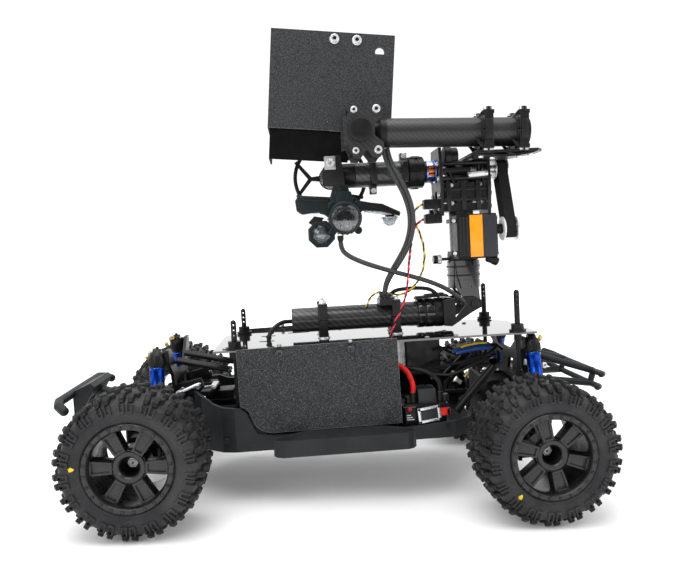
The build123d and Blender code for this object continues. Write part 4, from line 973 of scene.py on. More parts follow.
def hood_details():
    """Large screws on the sheet, the tilt cap and the nuts behind."""
    screws = Piece("hood_screws", STEEL, DARK_STEEL)
    for x in (62, 84):
        washer = turned([(1.7, 0), (4.7, 0), (4.9, 0.3), (4.7, 0.7), (1.7, 0.7)], 32, closed=True)
        at = frame_at((x, -18.02, 88.5), (x, -19.0, 88.5))
        screws.put(on_hood(moved(washer, at)))
        screws.put(on_hood(socket_screw((x, -18.7, 88.5), (0, -1, 0), 4.15, 3.3, 0.52)))
        screws.put(on_hood(hex_nut((x, -15.8, 88.5), (0, 1, 0), 3.6, 3.0, 1.5)), 1)
    screws.make("hood", "clamp_black")
    cap = Piece("tilt_cap", BLACK, DARK_STEEL)
    profile = [(0, 3.0), (0.9, 3.0), (1.5, 3.7), (7.6, 3.9), (9.2, 3.9), (10.4, 3.5), (11.0, 2.6),
               (11.0, 0.2), (5, 0)]
    cap.put(lathe(profile, (TILT_X, -63.1, TILT_Z), (TILT_X, -64, TILT_Z), 48))
    ring = turned([(7.4, 3.85), (7.7, 4.05), (8.0, 3.85)], 48)
    cap.put(ring, 0, frame_at((TILT_X, -63.1, TILT_Z), (TILT_X, -64, TILT_Z)))
    cap.make("hood", "clamp_black")


def plate_screws():
    """Countersunk screws and washers on the near tilt plate, and their ends on the far one."""
    piece = Piece("tilt_plate_screws", STEEL, DARK_STEEL)
    for sx in (-1, 1):
        for sz in (-1, 1):
            x, z = TILT_X + 5.5 + sx * 10.4, TILT_Z + sz * 18.7
            size = 3.7 if sx > 0 else 3.1
            piece.put(socket_screw((x, -59.95, z), (0, -1, 0), size, 3.4))
            # painted shade: a dark disc on each head stands for the shadowed socket hole, which the CAD head
            # fills
            piece.put(bar((x, -62.9, z), (x, -63.12, z), size * 0.5, 0, 6), 1)
            tall = 2.4 if sz < 0 else 0.4       # the hood's arm passes over the upper two
            piece.put(hex_nut((x, -22.0, z), (0, 1, 0), 3.2, tall, 1.5), 1)
            piece.put(bar((x, -57.9, z), (x, -24.1, z), 2.75), 1)
    piece.make("mast", "clamp_black")


def dish(x):
    """How far the bracket plate's dished edge rises at a place along it."""
    return 0.0042 * (x - 176) ** 2


def head_clamp_details():
    """Silver screws and nuts of the upper clamps, and the dished gussets beside them."""
    piece = Piece("upper_clamp_screws", STEEL, DULL_STEEL)
    gusset = Piece("upper_clamp_gussets", CLAMP)
    for x in (101, 135):
        for s in (-1, 1):
            y = s * (HEAD_R + 3)
            for dx in (-2.7, 2.7):
                piece.put(on_head(socket_screw((x + dx, y, HEAD_R + 4), (0, 0, 1), 1.9, 3.4)))
                piece.put(on_head(hex_nut((x + dx, y, -HEAD_R - 4), (0, 0, -1), 2.2, 2.2, 1.0)), 1)
            flare = [(x - 4.6, HEAD_R + 3.9), (x - 4.6, HEAD_R - 1.0), (x - 12, HEAD_R - 4.6),
                     (x - 6.6, HEAD_R + 2.6)]
            gusset.put(on_head(prism(flare, y - 1.3, y + 1.3)))
            keel = [(a, -b) for a, b in flare]
            gusset.put(on_head(prism(keel, y - 1.3, y + 1.3)))
        waist = [(x - 3.2, -9), (x - 2.6, 0), (x - 3.2, 9), (x + 3.2, 9), (x + 2.6, 0), (x + 3.2, -9)]
        gusset.put(on_head(prism(waist, -HEAD_R - 7.0, -HEAD_R - 5.4, 0.5)))
    piece.make("mast", "clamp_black")
    gusset.make("mast", "clamp_black")
    plate = Piece("bracket_plate_rim", CLAMP, STEEL)
    arc = [(x, 313.4 + dish(x)) for x in range(146, 212, 6)]
    outline = arc + [(x, z + 2.2) for x, z in reversed(arc)]
    plate.put(prism(outline, -56, -30, 0.5))
    for x in (152, 163, 189, 200):
        plate.put(hex_nut((x, -52, 313.2 + dish(x)), (0, 0, -1), 2.5, 2.0, 1.0), 1)
    plate.make("mast", "clamp_black")
    ends = Piece("upper_tube_ends", BLACK)
    dome = [(HEAD_R - 2, 0), (HEAD_R + 0.25, 0), (HEAD_R + 0.25, 1.4), (HEAD_R - 0.8, 2.6), (8, 3.7),
            (0, 4.1)]
    ends.put(on_head(along_x(turned(dome, 48), HEAD_LONG + 0.2, 0, 0)))
    ring = [(HEAD_R - 0.6, 0), (HEAD_R + 0.2, 0.2), (HEAD_R + 0.2, 6), (HEAD_R - 0.6, 6.2)]
    ends.put(on_head(moved(turned(ring, 48), LIE_X)))
    ends.make("mast", "clamp_black")


# ---------------------------------------------------------------- mast
def knurled(at, out, r, tall):
    """A thumb screw's knurled head."""
    points, faces = turned([(0, 0), (r - 0.4, 0), (r, 0.4), (r, tall - 0.4), (r - 0.5, tall),
                            (r * 0.45, tall), (r * 0.4, tall - 0.8), (0, tall - 0.8)], 40)
    cut = [Vector((p.x * f, p.y * f, p.z)) for p, f in
           ((p, 0.93 if round(math.atan2(p.y, p.x) / (math.pi / 20)) % 2 else 1.0) for p in points)]
    return moved((cut, faces), frame_at(at, Vector(at) + Vector(out)))


def mast_details():
    """Thumb screws, stand-offs, plate screws and wires round the mast's frame."""
    piece = Piece("mast_screws", STEEL, DULL_STEEL, WHITE)
    for x, z, r, tall, kind in ((121.2, 218, 4.9, 4.2, 0), (117.0, 218, 3.9, 4.4, 1),
                                (118.8, 265, 4.9, 4.0, 0), (114.6, 265, 3.8, 3.9, 1)):
        piece.put(knurled((x, 0, z), (-1, 0, 0), r, tall), kind)
    for half, z in ((17, 299), (14.45, 314), (14, 270), (16, 283)):
        for y in (-half, half):
            piece.put(socket_screw((118.95, y, z), (-1, 0, 0), 2.4, 1.8))
            piece.put(socket_screw((171.05, y * 0.93, z), (1, 0, 0), 2.2, 1.6), 1)
    piece.put(bar((150, -18.6, 301.5), (167.8, -18.6, 302.5), 2.7, 0.4), 2)
    piece.put(bar((148, -18.6, 301.4), (150, -18.6, 301.5), 3.2))
    piece.put(bar((164.8, -18.6, 302.4), (167.8, -18.6, 302.5), 3.1))
    for z in (274, 292):
        for kind, x in enumerate((131, 160)):
            piece.put(socket_screw((x, -17, z), (0, -1, 0), 2.0, 1.5), kind)
    piece.make("mast", "pulley_metal")

    fittings = Piece("mast_fittings", CLAMP, BLACK)
    for x in (128, 143, 158):
        fittings.put(block(x - 2.2, x + 2.2, -19.4, -16.0, 266.4, 296, 0.6))
    fittings.put(block(124, 167, -17.4, -15.2, 286.5, 289.5, 0.5))
    fittings.put(block(124, 167, -18.2, -15.2, 276.4, 279, 0.5))
    drum = [(0, 0), (9.2, 0), (10.4, 1.2), (10.4, 6.5), (8.6, 7.4), (8.6, 13), (7.8, 14), (0, 14)]
    fittings.put(along_x(turned(drum, 40), 126, -8, 322), 1)
    fittings.put(block(123, 150, -19.5, -17.0, 305, 309, 0.6), 1)
    fittings.put(bar((130, -18, 305), (134, -21, 292), 1.3), 1)
    for z, y in ((274.3, -14), (259.6, -19.8)):
        fittings.put(block(103.4, 110.6, y - 5.0, y + 5.0, z - 5.0, z + 4.9, 0.5), 1)
        fittings.put(block(111.6, 118.4, y - 4.9, y + 4.9, z - 4.9, z + 4.8, 0.5), 1)
    for z in (200, 209):
        ring = turned([(16.9, 0), (17.25, 0.3), (17.25, 1.7), (16.9, 2)], 56)
        fittings.put(ring, 0, Matrix.Translation((MAST_X, 0, z)))
    collar = [(12.6, 0), (15.2, 0), (15.8, 0.8), (15.8, 6.2), (15.0, 7), (12.6, 7)]
    fittings.put(turned(collar, 48, closed=True), 0, Matrix.Translation((MAST_X, 0, 216.2)))
    fittings.make("mast", "clamp_black")


def servo_details():
    """Blank orange label, case seams, screws and the fluted motor side of the servo."""
    piece = Piece("servo_trim", BLACK, ORANGE, GREY_CASE, STEEL, CLAMP)
    for kind, *sides in ((1, 143.6, 156.6, -33.85, -33.3, 219.6, 260.8, 0.2),
                         (2, 157.2, 170.4, -34, -33.2, 219.2, 261, 0.3),
                         (0, 170.4, 172.4, -31, -15.6, 221, 259, 0.7),
                         (0, 132.4, 142.8, -34.6, -33.2, 220, 260, 0.5)):
        piece.put(block(*sides), kind)
    for x in (134.2, 137.6, 141.0):
        piece.put(bar((x, -34.2, 221), (x, -34.2, 259), 1.1, 0.3, 16), 4)
    for z in (222, 258):
        for y in (-29.6, -17.2):
            piece.put(socket_screw((172.3, y, z), (1, 0, 0), 1.5, 1.0), 3)
        piece.put(socket_screw((128.2, -31.8, z - 2 if z > 240 else z + 2), (0, -1, 0), 2.0, 1.4), 3)
    piece.put(bar((160, -30, 217.6), (168, -30, 214.5), 3.3, 0.8))
    piece.put(bar((166, -30, 215.8), (171.5, -30, 213.2), 4.2, 1.0))
    piece.make("mast", "servo_case")


def pulley_details():
    """Bright flanges of the servo pulley with its hub screw."""
    piece = Piece("pulley_flanges", WHITE, STEEL, DARK_STEEL)
    rim = [(6, 0), (11.4, 0), (11.9, 0.4), (11.9, 1.2), (11.4, 1.6), (6, 1.6)]
    for kind, x in enumerate((178.9, 192.0)):
        piece.put(along_x(turned(rim, 48, closed=True), x, *PULLEY_YZ), kind)
    boss = [(6, 0), (6.4, 0.4), (6.4, 2.2), (5.8, 2.6), (3, 2.6), (0, 2.4)]
    piece.put(along_x(turned(boss, 32), 193.4, *PULLEY_YZ), 1)
    piece.put(socket_screw((195.2, *PULLEY_YZ), (1, 0, 0), 2.3, 1.4), 2)
    piece.make("servo_pulley", "pulley_metal")


# ---------------------------------------------------------------- lamp arm
def arm_tube():
    """Roll shaft, motor, carbon tube with its clamps, coupling and front hub."""
    weave = carbon("arm_twill", LEAN @ Vector((60, 0, ROLL_Z)), (0, -NOSE_DOWN, 0), TUBE_R, 0.12, 0.030)
    piece = Piece("lamp_arm_tube", weave, CLAMP, BLACK, STEEL, BLUE_RING, COPPER)
    piece.put(bar((110, 0, ROLL_Z), (193, 0, ROLL_Z), 4.0), 3)
    piece.put(bar((180, 0, ROLL_Z), (192.6, 0, ROLL_Z), 8.0, 0.4, 40), 2)
    for x in (179.6, 191.8):
        piece.put(bar((x, 0, ROLL_Z), (x + 1.2, 0, ROLL_Z), 10.6, 0.3, 40), 3)
    piece.put(pipe((36, 0, ROLL_Z), (106, 0, ROLL_Z), TUBE_R, 1.5, 64))
    piece.put(bar((96, 0, ROLL_Z), (108.6, 0, ROLL_Z), 10.9), 2)
    for x0, x1 in ((108.4, 110.2), (116.9, 118.7)):
        ring = [(4.2, 0), (11.0, 0), (11.6, 0.4), (11.6, x1 - x0 - 0.4), (11.0, x1 - x0), (4.2, x1 - x0)]
        piece.put(along_x(turned(ring, 48, closed=True), x0, 0, ROLL_Z), 4)
    piece.put(bar((110, 0, ROLL_Z), (117, 0, ROLL_Z), 7.0), 2)
    for k in range(12):
        turn = about_x(0, ROLL_Z, 30 * k)
        piece.put(block(110.6, 116.5, -1.9, 1.9, 6.6, 10.3, 0.9), 5, turn)
    for k in range(4):
        turn = about_x(0, ROLL_Z, 90 * k + 45)
        piece.put(block(109.8, 117.2, -3.6, 3.6, 10.1, 11.4), 4, turn)
    for x in (54, 86):
        band = [(TUBE_R + 0.05, -3.6), (TUBE_R + 1.9, -3.6), (TUBE_R + 2.4, -3.0), (TUBE_R + 2.4, 3.0),
                (TUBE_R + 1.9, 3.6), (TUBE_R + 0.05, 3.6)]
        piece.put(along_x(turned(band, 56, closed=True), x, 0, ROLL_Z), 1)
        for z in (-1, 1):
            ear = sorted((ROLL_Z + z * 12.5, ROLL_Z + z * 20))
            piece.put(block(x - 3.4, x + 3.4, -4.6, 4.6, *ear, 0.8), 1)
            piece.put(socket_screw((x, -4.5, ROLL_Z + z * 16.6), (0, -1, 0), 2.8, 2.4), 3)
        piece.put(block(x - 2.4, x + 2.4, -16.2, -12.6, ROLL_Z - 10, ROLL_Z + 10, 0.9), 1)
    shell = [(TUBE_R + 0.05, 0), (15.0, 0), (15.8, 0.8), (15.8, 6.4), (15.2, 7), (15.2, 9), (15.8, 9.6),
             (15.8, 15), (14.6, 16), (TUBE_R + 0.05, 16)]
    piece.put(along_x(turned(shell, 56, closed=True), 90, 0, ROLL_Z), 2)
    for a in range(0, 360, 60):
        turn = about_x(0, ROLL_Z, a + 20)
        piece.put(prism([(91, -3.4), (104.6, -3.4), (101, 3.4), (94, 3.4)], 15.3, 16.6, plane="xy"), 2, turn)
    hub_frame = frame_at((HUB_X, -22, ROLL_Z), (HUB_X, 14, ROLL_Z))
    hub = [(0, 0), (9.4, 0), (10.6, 0.8), (11, 2), (11, 13), (10.4, 13.8), (10.4, 18), (11, 18.8), (11, 34),
           (10, 36), (0, 36)]
    piece.put(turned(hub, 48), 2, hub_frame)
    for part in ribs(10.6, 19, 33, 14, 0.9):
        piece.put(part, 2, hub_frame)
    neck = [(0, 0), (11.5, 0), (11.5, 10), (12.3, 12), (12.3, 23.6), (0, 23.9)]
    piece.put(along_x(turned(neck, 48), HUB_X, 0, ROLL_Z), 2)
    piece.put(socket_screw((HUB_X, -22, ROLL_Z + 1), (0, -1, 0), 2.6, 1.6), 3)
    piece.make("lamp_arm", "clamp_black", replaces=["roll_arm"])


def lamp_pieces():
    """The lamp's bracket, bars, round and angular lamps, their lenses and the clear dome."""
    piece = Piece("lamp_body", LAMP, STEEL, BLACK, DULL_STEEL)
    strap = [(2, 296), (24, 296), (21, 326), (13, 326), (8, 318), (2, 312)]
    piece.put(prism(strap, -25.2, -22.1, 0.5), 2)
    piece.put(prism([(4.5, 312), (15.5, 312), (15.5, 325), (4.5, 325)], -27.0, -25.0), 3)
    piece.put(hex_nut((10.5, -26.6, 318.6), (0, -1, 0), 4.2, 2.8, 1.5), 1)
    piece.put(prism([(15.5, 297), (20.5, 297), (23.5, 284), (18.5, 284)], -27.4, -25.0, 0.5), 2)
    drop = [(12, 297), (26, 297), (30, 282), (28, 272), (14, 272), (8, 284)]
    piece.put(prism(drop, -25.2, -22.1, 0.5))
    piece.put(prism([(13, 290), (29, 290), (31, 278), (24, 275), (15, 277)], -29.5, -25.0, 0.8))
    beam = [(-25, 274), (-20, 270), (0, 272), (10, 262), (36, 266), (40, 272), (60, 270), (77, 264),
            (78, 268), (60, 277), (38, 280), (34, 284), (8, 286), (-22, 289), (-26, 284)]
    piece.put(prism(beam, -22, -14, 0.9))
    for pad in ([(-24, 287.4), (6, 284.6), (6, 281.6), (-24, 284)],
                [(42, 277.5), (60, 275), (76, 267.6), (75, 265.2), (59, 271.6), (42, 273.6)]):
        piece.put(prism(pad, -24, -13, 0.7), 2)
    for low in ([(-24.6, 274.4), (-19.6, 270.4), (-2, 271.6), (-3, 268.8), (-18, 267.6), (-25.4, 271.6)],
                [(42, 271.6), (60, 269.6), (74, 264.4), (73, 262.6), (59, 267.2), (42, 269.2)]):
        piece.put(prism(low, -21, -15), 1)
    rim = [(13.2, 0), (13.6, -4.2), (15.4, -5.0), (16.2, -4.2), (16.2, 1.5), (15.4, 2.2), (15.4, 6.5),
           (16, 7.2), (16, 18.8), (13, 19)]
    out = frame_at((LAMP_X, -28, LAMP_Z), (LAMP_X, -10, LAMP_Z))
    piece.put(turned(rim, 56), 0, out)
    for part in ribs(16.0, 8, 18, 22, 0.9):
        piece.put(part, 0, out)
    piece.put(turned([(12.4, 19), (12.4, 23), (10, 24.5), (0, 24.5)], 40), 2, out)
    reflector = [(13.3, 0.4), (10.5, 4.0), (6.5, 7.2), (0, 8.4)]
    piece.put(turned(reflector, 18), 1, out)
    for x0, x1, z0, z1 in ((14, 20.4, 262, 268), (23.6, 30, 262, 268), (16, 28, 263.6, 266)):
        piece.put(block(x0, x1, -26.8, -22.6, z0, z1, 0.8), 2)
    for dx, dz in ((-1, 1), (1, 1), (1, -1), (-1, -1)):
        x, z = LAMP_X + 12.6 * dx, LAMP_Z + 12.6 * dz
        boss = turned([(0, 0), (3.6, 0), (3.9, 1.2), (2.6, 2.4), (0, 2.4)], 14)
        piece.put(boss, 0, frame_at((x, -24, z), (x, -26, z)))
    low_ring = [(9.8, 0), (13.4, 0), (14.2, 1.2), (14.2, 9), (12.6, 11), (9.8, 11)]
    eighth = Matrix.Rotation(math.pi / 2, 4, "X") @ Matrix.Rotation(0.39, 4, "Z")
    at = Matrix.Translation((-1.5, -17, 250)) @ eighth
    piece.put(turned(low_ring, 8, closed=True), 0, at @ Matrix.Translation((0, 0, -7)))
    piece.put(turned([(9.8, 0), (6, 3), (0, 4)], 8), 1, at @ Matrix.Translation((0, 0, -6.5)))
    piece.put(prism([(-14, 262), (-8, 268), (2, 266), (-6, 256)], -20, -14, 0.6), 2)
    piece.put(lathe([(1.9, 0), (3.1, 0), (3.1, 3.6), (2.0, 6.4), (1.9, 6.4)], (17, -19, 247.6),
                    (17, -19, 241.0), 24, closed=True), 2)
    piece.put(bar((66, -18, 264.4), (68, -18, 260.6), 1.7, 0.4), 3)
    piece.put(block(63, 72, -21, -15, 262.6, 266.4, 0.8), 2)
    piece.make("lamp_arm", "lamp_black", replaces=["lamp_head"])

    glass = Piece("lamp_glass", LENS, GREY_LENS, DULL_STEEL)
    pane = [(0, -3.4), (9, -3.2), (13.2, -2.0), (13.2, -0.6), (9, -1.6), (0, -1.8)]
    glass.put(turned(pane, 44), 0, out)
    facets = [(0, 5.2), (5.5, 4.6), (9.6, 2.2), (9.6, 0.6), (5.2, 2.6), (0, 3.2)]
    glass.put(turned(facets, 8), 1, at @ Matrix.Translation((0, 0, 1.0)))
    bowl = [(0, -8.2), (3.6, -7.4), (6.6, -4.8), (8.1, -1.4), (8.2, 0.4), (7.3, 0.4), (7.2, -1.2),
            (5.8, -4.2), (3.1, -6.4), (0, -7.1)]
    glass.put(turned(bowl, 12), 1, Matrix.Translation(DOME))
    collar = [(7.2, 0.2), (8.5, 0.2), (8.6, 0.8), (8.2, 1.4), (7.2, 1.4)]
    glass.put(turned(collar, 24, closed=True), 2, Matrix.Translation(DOME))
    glass.make("lamp_arm", "lamp_black")


def ring_details():
    """Round-section rim and hub boss over the flat spoked ring."""
    piece = Piece("ring_wheel_rim", BLACK, STEEL)
    at = frame_at((HUB_X, 14.1, ROLL_Z), (HUB_X, 18.1, ROLL_Z))
    ring = [(34.6 + 1.9 + 1.9 * math.cos(a), 2.0 + 2.35 * math.sin(a)) for a in
            (2 * math.pi * k / 12 for k in range(12))]
    piece.put(turned(ring, 96, closed=True), 0, at)
    piece.put(turned([(0, 4.6), (5, 4.6), (9.6, 4.3), (11, 3.6), (11, -0.1)], 40), 0, at)
    piece.put(socket_screw((HUB_X, 18.6, ROLL_Z), (0, 1, 0), 3.0, 1.6), 1)
    piece.make("lamp_arm", "rim_plastic")


# ---------------------------------------------------------------- deck and what stands on it
def deck_details():
    """Screws and washers of the deck clamps, gloss rings of the ferrule, and the harness's tie."""
    piece = Piece("deck_screws", STEEL, DULL_STEEL)
    for x in (-4.5, 69.5):
        for s in (-1, 1):
            y = s * (TUBE_R + 3)
            top = TUBE_Z + TUBE_R + 4
            washer = turned([(1.6, 0), (4.2, 0), (4.4, 0.3), (4.2, 0.8), (1.6, 0.8)], 28, closed=True)
            piece.put(washer, 1, Matrix.Translation((x, y, top + 0.02)))
            piece.put(socket_screw((x, y, top + 0.8), (0, 0, 1), 3.1, 3.0))
            foot = [(1.6, 0), (6.2, 0), (6.4, 0.4), (6.2, 0.9), (4.6, 1.3), (1.6, 1.3)]
            piece.put(turned(foot, 32, closed=True), 0, Matrix.Translation((x, y, DECK_TOP + 0.05)))
            piece.put(hex_nut((x, y, DECK_TOP - 2.1), (0, 0, -1), 3.1, 2.6, 1.4), 1)
    for x, y in ((-100, -50), (-100, 42), (92, -56), (120, -56), (150, 30), (-20, 52), (60, 52), (140, 52)):
        piece.put(socket_screw((x, y, DECK_TOP), (0, 0, 1), 2.3, 1.3), 1)
    piece.make("chassis", "shock_steel")

    bands = Piece("ferrule_bands", GLOSS, CLAMP)
    for x, wide in ((93.2, 6.6), (101.4, 8.4), (111.4, 8.4), (121.4, 7.6)):
        kind = 1 if 105 < x < 115 else 0
        profile = [(14.0, 0), (14.7, 0.3), (14.95, 1.0), (14.95, wide - 1.0), (14.7, wide - 0.3),
                   (14.0, wide)]
        bands.put(along_x(turned(profile, 56), x, 0, TUBE_Z), kind)
    bands.put(prism([(90, 178.6), (92, 181.6), (124, 182.6), (126, 180.4)], -9, 2, 0.6), 1)
    bands.put(prism([(101, 181.6), (101, 183.4), (121, 184.2), (121, 182.4)], -7.5, 0.5), 1)
    for s in (-1, 1):
        bands.put(bar((150, s * 17.3, 171.5), (150, s * 19.4, 171.5), 4.2, 0.5), 1)
    bands.put(block(53, 63.5, -25, -3, 181.5, 184.0, 0.6), 1)
    bands.put(lathe([(4.0, 0), (5.1, 0.3), (5.3, 1.0), (5.3, 3.4), (5.0, 4.0), (4.0, 4.2)],
                    (57.4, -21.1, 183.9), (58, -21.6, 190), 28), 1)
    bands.make("chassis", "clamp_black")


def held_leads():
    """Thick power leads, the deck tube's own lead and the short one over its clamp."""
    piece = Piece("power_leads", LEAD_BLACK, RED, SLEEVE)
    red = [(40, -50, 120), (58, -50, 122), (70, -56, 116), (75.4, -59.6, 103), (75, -60, 91.3)]
    black = [(40, -44, 116), (66, -47, 117), (88, -55, 114), (100, -59.6, 104), (101, -60, 91.3)]
    tube = [(-35, 0, 163), (-46, -2, 162.6), (-55.5, -8, 157), (-60, -13, 149), (-58.5, -14, 138)]
    short = [(63.5, -12, 184.2), (71, -13, 189.5), (88, -15.5, 191), (104, -17.5, 189), (114, -18, 181)]
    for points, r, kind in ((red, 2.5, 1), (black, 2.2, 0), (tube, 2.2, 0), (short, 2.0, 0)):
        line = [p * MM for p in smooth_line(points, 10)]
        verts, faces, runs = strand(line, r * MM, 16)
        piece.put(([v / MM for v in verts], faces, runs), kind)
    for x, y, z in ((-57.5, -9.5, 154.5), (-60, -12.6, 149.6)):
        piece.put(lathe([(2.2, -0.9), (3.0, -0.7), (3.0, 0.7), (2.2, 0.9)], (x, y, z),
                        (x - 2.6, y - 3.6, z - 6), 20, closed=True))
    for x in (75, 101):
        piece.put(bar((x, -60, 89), (x, -60, 95), 3.1, 0.5))
    piece.make("chassis", "cable_sleeve", replaces=["held_leads"])


def controller_details():
    """Speed controller's dot, screen, red tab, fan grille and plate, with shrink-wrapped joints above."""
    piece = Piece("controller_trim", BLACK, RED, STEEL, GREY_CASE, GLOSS, WHITE)
    dot = [(0, 0.6), (1.7, 0.6), (2.0, 0.3), (2.0, 0)]
    piece.put(lathe(dot, (70.5, -66, 80.4), (70.5, -67, 80.4), 24), 1)
    piece.put(block(66.6, 75.5, -66.3, -65.9, 69.2, 76.4, 0.15), 3)
    for k in range(3):
        piece.put(block(67.4, 74.6 - 1.6 * k, -66.5, -66.1, 70.2 + 2.1 * k, 71.1 + 2.1 * k, 0.1), 5)
    turn = Matrix.Rotation(math.radians(-5), 4, "Y") @ Matrix.Rotation(0.12, 4, "Z")
    tilt = Matrix.Translation((88, -71, 76)) @ turn
    for x0, x1, z0, z1 in ((-11, 11, 4.8, 7.2), (-11, 11, -7.2, -4.8), (-11, -8.2, -7.2, 7.2),
                           (8.2, 11, -7.2, 7.2)):
        piece.put(block(x0, x1, -1.3, 0.6, z0, z1, 0.5), 2, tilt)
    piece.put(block(-8.4, 8.4, -0.4, 0.9, -5, 5), 3, tilt)
    for x in (-9.6, 9.6):
        for z in (-6, 6):
            piece.put(socket_screw((x, -1.2, z), (0, -1, 0), 1.2, 0.7), 0, tilt)
    for kind, *sides in ((1, 99.4, 105.6, -70.6, -66.4, 73.6, 80.4, 0.7),
                         (1, 105.2, 108.6, -70, -67, 75, 79, 0.5),
                         (3, 79.6, 96.4, -64.4, -45.6, 84.8, 98.4, 0.8),
                         (4, 64.4, 107.6, -66.4, -39.6, 81.8, 83.4)):
        piece.put(block(*sides), kind)
    for k in range(5):
        piece.put(block(81.2 + 3 * k, 82.6 + 3 * k, -62.5, -47.5, 98.2, 99.3, 0.3))
    for x in (70, 75, 101, 106):
        piece.put(bar((x, -60, 84.8), (x, -60, 92), 3.4, 0.6))
    piece.make("chassis", "controller_case")

    joints = Piece("wrapped_joints", BLUE_WRAP, YELLOW, ORANGE_WIRE, BLACK, BRASS)
    for y, z, kind, dx in ((-31, 130.0, 0, 0), (-28, 132.4, 1, 4), (-33, 133.4, 1, 8), (-30, 126.8, 2, 7),
                           (-34, 128.6, 0, 3)):
        points = [(122 + dx, y, z - 3), (134, y - 0.6, z - 1.2), (148, y, z + 0.4), (160 - dx / 2, y + 1, z)]
        joints.put(strand(smooth_line(points, 6), 2.3 if kind == 0 else 1.15, 12), kind)
    for points in ([(104, -20, 128), (118, -26, 130), (124, -31, 128)],
                   [(100, -34, 112), (120, -40, 116), (150, -40, 122), (168, -30, 130)],
                   [(96, -44, 108), (116, -50, 108), (140, -46, 116), (164, -34, 122)],
                   [(158, -30, 131), (168, -26, 130), (176, -18, 124)],
                   [(110, 10, 130), (135, 0, 118), (160, 8, 126)]):
        joints.put(strand(smooth_line(points), 1.5, 10), 3)
    for x, z in ((118, 103), (132, 101)):
        joints.put(bar((x, -34, z), (x + 3, -36, z + 5), 1.7, 0.4), 4)
    joints.make("chassis", "controller_case")


def panel_details():
    """Bolts, washers and clips of the side panels."""
    piece = Piece("panel_bolts", DARK_STEEL, BLACK, DULL_STEEL)
    for s in (-1, 1):
        for x in (-48, 17):
            piece.put(socket_screw((x, s * 77.7, 143.2), (0, s, 0), 3.5, 3.0))
            piece.put(block(x - 1.7, x + 1.7, *sorted((s * 77.6, s * 80.2)), 144.6, 149.6, 0.5), 1)
            piece.put(bar((x, s * 76.4, 148.6), (x, s * 76.4, 151.6), 2.0, 0.4), 2)
    piece.make("chassis", "clamp_black")


def chassis_details():
    """Tub screws, steering parts, brass ball studs, tower bolts and bumper screws."""
    piece = Piece("chassis_fittings", BLACK, STEEL, BRASS, DULL_STEEL, RED, WHITE)
    xf, _ = level(-WHEELBASE / 2, TYRE_R)
    xr, _ = level(WHEELBASE / 2, TYRE_R)
    for s in (-1, 1):
        for x, z in ((xf + 5, 148.5), (xf - 2, 141.5)):
            piece.put(lathe([(0, 0), (1.1, 0), (1.9, 1.0), (1.9, 2.0), (1.1, 3.1), (0, 3.3)], (x, s * 44, z),
                            (x - 1, s * 46, z + 1), 20), 2)
            piece.put(hex_nut((x, s * 43.6, z), (0, -s, 0), 2.4, 2.0, 0.8), 2)
        piece.put(hex_nut((xr + 26.4, s * 50, 138), (1, 0, 0), 3.2, 2.6, 1.4), 2)
        piece.put(hex_nut((xf + 2.6, s * 50, 146), (-1, 0, 0), 3.2, 2.6, 1.4), 3)
        piece.put(bar((xr + 20, s * 22, 110), (xr + 28, s * 24, 108), 3.0, 0.6), 5)
        piece.put(socket_screw((214, s * 30, 107), (0.3, s, 0), 3.0, 3.0), 1)
        # steering crank, its link and tie rod end
        piece.put(block(xf + 26, xf + 52, *sorted((s * 12, s * 30)), 98, 103, 0.8))
        piece.put(prism([(-152, 103), (-130, 101), (-124, 108), (-127, 117), (-150, 112)],
                        *sorted((s * 29, s * 32)), 0.5))
        for x, z in ((-130, 108), (-145, 107)):
            piece.put(socket_screw((x, s * 32, z), (0, s, 0), 2.3, 1.6), 3)
        for x, y, z in ((-148, 34, 104), (-158, 40, 100)):
            piece.put(lathe([(0, 0), (2.2, 0.4), (3.2, 2), (2.2, 3.6), (0, 4)], (x, s * y, z),
                            (x, s * (y + 1), z), 16), 1)
        piece.put(bar((-147, s * 37, 105), (-126, s * 30, 112), 1.6), 1)
        for x in (-90, -40, 20, 90):
            piece.put(socket_screw((x, s * 60, 57.0), (0, 0, 1), 3.0, 2.0), 3)
        for x in (-100, 104):
            piece.put(socket_screw((x, s * 75, 66), (0, s, 0), 2.4, 1.4))
    piece.put(block(-126, -100, 2, 26, 60, 96, 1.2)).put(block(-127, -99, 0.6, 27.4, 84, 87, 0.6))
    piece.put(bar((-119, 14, 96), (-119, 14, 101), 4.2, 0.6))
    piece.put(block(-122, -116, -12, 17, 100.6, 103.4, 0.8), 5)
    piece.put(bar((-119, -9, 103), (-139, -20, 104), 1.7), 1)
    piece.make("chassis", "shock_steel")

    motor = Piece("motor_trim", DULL_STEEL, GREY_CASE, BRASS, BLACK)
    for k in range(16):
        turn = about_x(*MOTOR_YZ, 22.5 * k)
        motor.put(block(66, 98, -1.1, 1.1, 17.4, 19.3), 1, turn)
    motor.put(along_x(turned([(18.2, 0), (19.2, 0.5), (19.2, 7), (18.2, 7.6)], 48), 54, *MOTOR_YZ))
    for a in range(3):
        turn = about_x(*MOTOR_YZ, 40 + 60 * a)
        motor.put(bar((46, 0, 12), (55, 0, 12), 1.9), 2, turn)
    for k in range(GEAR_TEETH):
        turn = about_x(0, GEAR_Z, 360 / GEAR_TEETH * k)
        motor.put(block(110.1, 114.9, -0.55, 0.55, 20, 21.4, 0.2), 3, turn)
    motor.make("chassis", "gearbox")


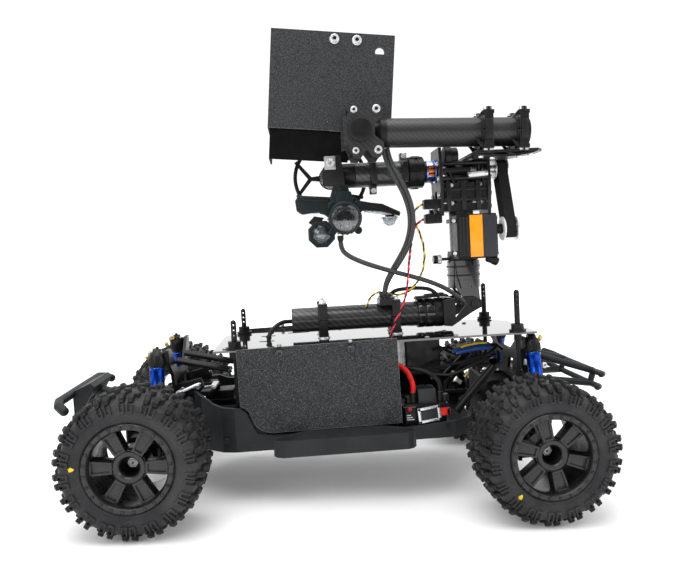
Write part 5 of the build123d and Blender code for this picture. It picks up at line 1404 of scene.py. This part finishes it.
# ---------------------------------------------------------------- finishes of the CAD nodes
def paint(node, material, *others):
    """Gives a CAD node its finish; others are (material, test) on a face's level middle in mm."""
    obj = frame["nodes"][node]
    obj.data.materials.clear()
    for entry in (material, *[m for m, _ in others]):
        obj.data.materials.append(entry)
    back = LEAN.inverted()
    for polygon in obj.data.polygons:
        polygon.material_index = 0
        polygon.use_smooth = True
        if others:
            middle = (back @ polygon.center) / MM
            for number, (_, test) in enumerate(others):
                if test(middle):
                    polygon.material_index = number + 1
    obj.data.set_sharp_from_angle(angle=math.radians(30))


def paint_all():
    """Finishes of all the CAD nodes that stay visible."""
    for name in CORNERS:
        for part, material in (("lower_arm", ARM), ("upper_link", DARK_STEEL), ("carrier", ARM)):
            paint(f"{name}_{part}", material)
        if name.startswith("front"):
            paint(f"{name}_knuckle", ARM)
    for material, nodes in ((MOULDING, "chassis_tub side_loops bumpers"), (GEAR, "drivetrain"),
                            (BLACK, "shock_towers body_posts speed_controller servo_box ring_wheel"),
                            (CLAMP, "deck_clamps fold_base mast_frame head_bracket"), (DECK, "deck_plate"),
                            (COAT, "side_panels"), (WRAP, "battery_pack"), (RUBBER_BELT, "drive_belt"),
                            (DULL_STEEL, "servo_pulley")):
        for node in nodes.split():
            paint(node, material)
    paint("deck_tube", carbon("deck_tube_twill", LEAN @ Vector((0, 0, TUBE_Z)), (0, -NOSE_DOWN, 0), TUBE_R,
                              0.12, 0.050))
    head_carbon = carbon("upper_tube_twill", LEAN @ Vector((HEAD_X, HEAD_Y, HEAD_Z)),
                         (0, HEAD_FALL - NOSE_DOWN, 0), HEAD_R, 0.35, 0.016, thread=0.0012, coat=0.15)
    paint("upper_tube", head_carbon, (BLACK, lambda p: p.x > 198.4 or p.x < 58.4))
    mast_carbon = carbon("mast_twill", LEAN @ Vector((MAST_X, 0, 200)), (0, 90 - NOSE_DOWN, 0), TUBE_R, 0.12,
                         0.03)
    paint("mast_tube", mast_carbon, (GLOSS, lambda p: p.z < 216.5))
    plate_carbon = carbon("plate_twill", LEAN @ Vector((TILT_X, HEAD_Y, TILT_Z)), (0, -NOSE_DOWN, 0), 0, 0.4,
                          0.035, thread=0.0014, coat=0.1)
    paint("end_plates", plate_carbon, (STEEL, lambda p: p.y < -60.1), (CLAMP, lambda p: -57.9 < p.y < -24.1))
    low_edge = HOOD_Z + 0.4
    # painted shade: the hood's inner wall below the sheet's lower edge gets the near-black, glossless finish
    paint("hood", COAT, (HOOD_INNER_SHADE, lambda p: p.y > -15.95 and p.z < low_edge + 22 - (p.x - HOOD_X) * 0.0945),
          (CLAMP, lambda p: p.y < -20.5))


# ---------------------------------------------------------------- build
camera()
studio()
paint_all()
cords()
wheels()
shocks()
hood_details()
plate_screws()
head_clamp_details()
mast_details()
servo_details()
pulley_details()
arm_tube()
lamp_pieces()
ring_details()
deck_details()
held_leads()
controller_details()
panel_details()
chassis_details()
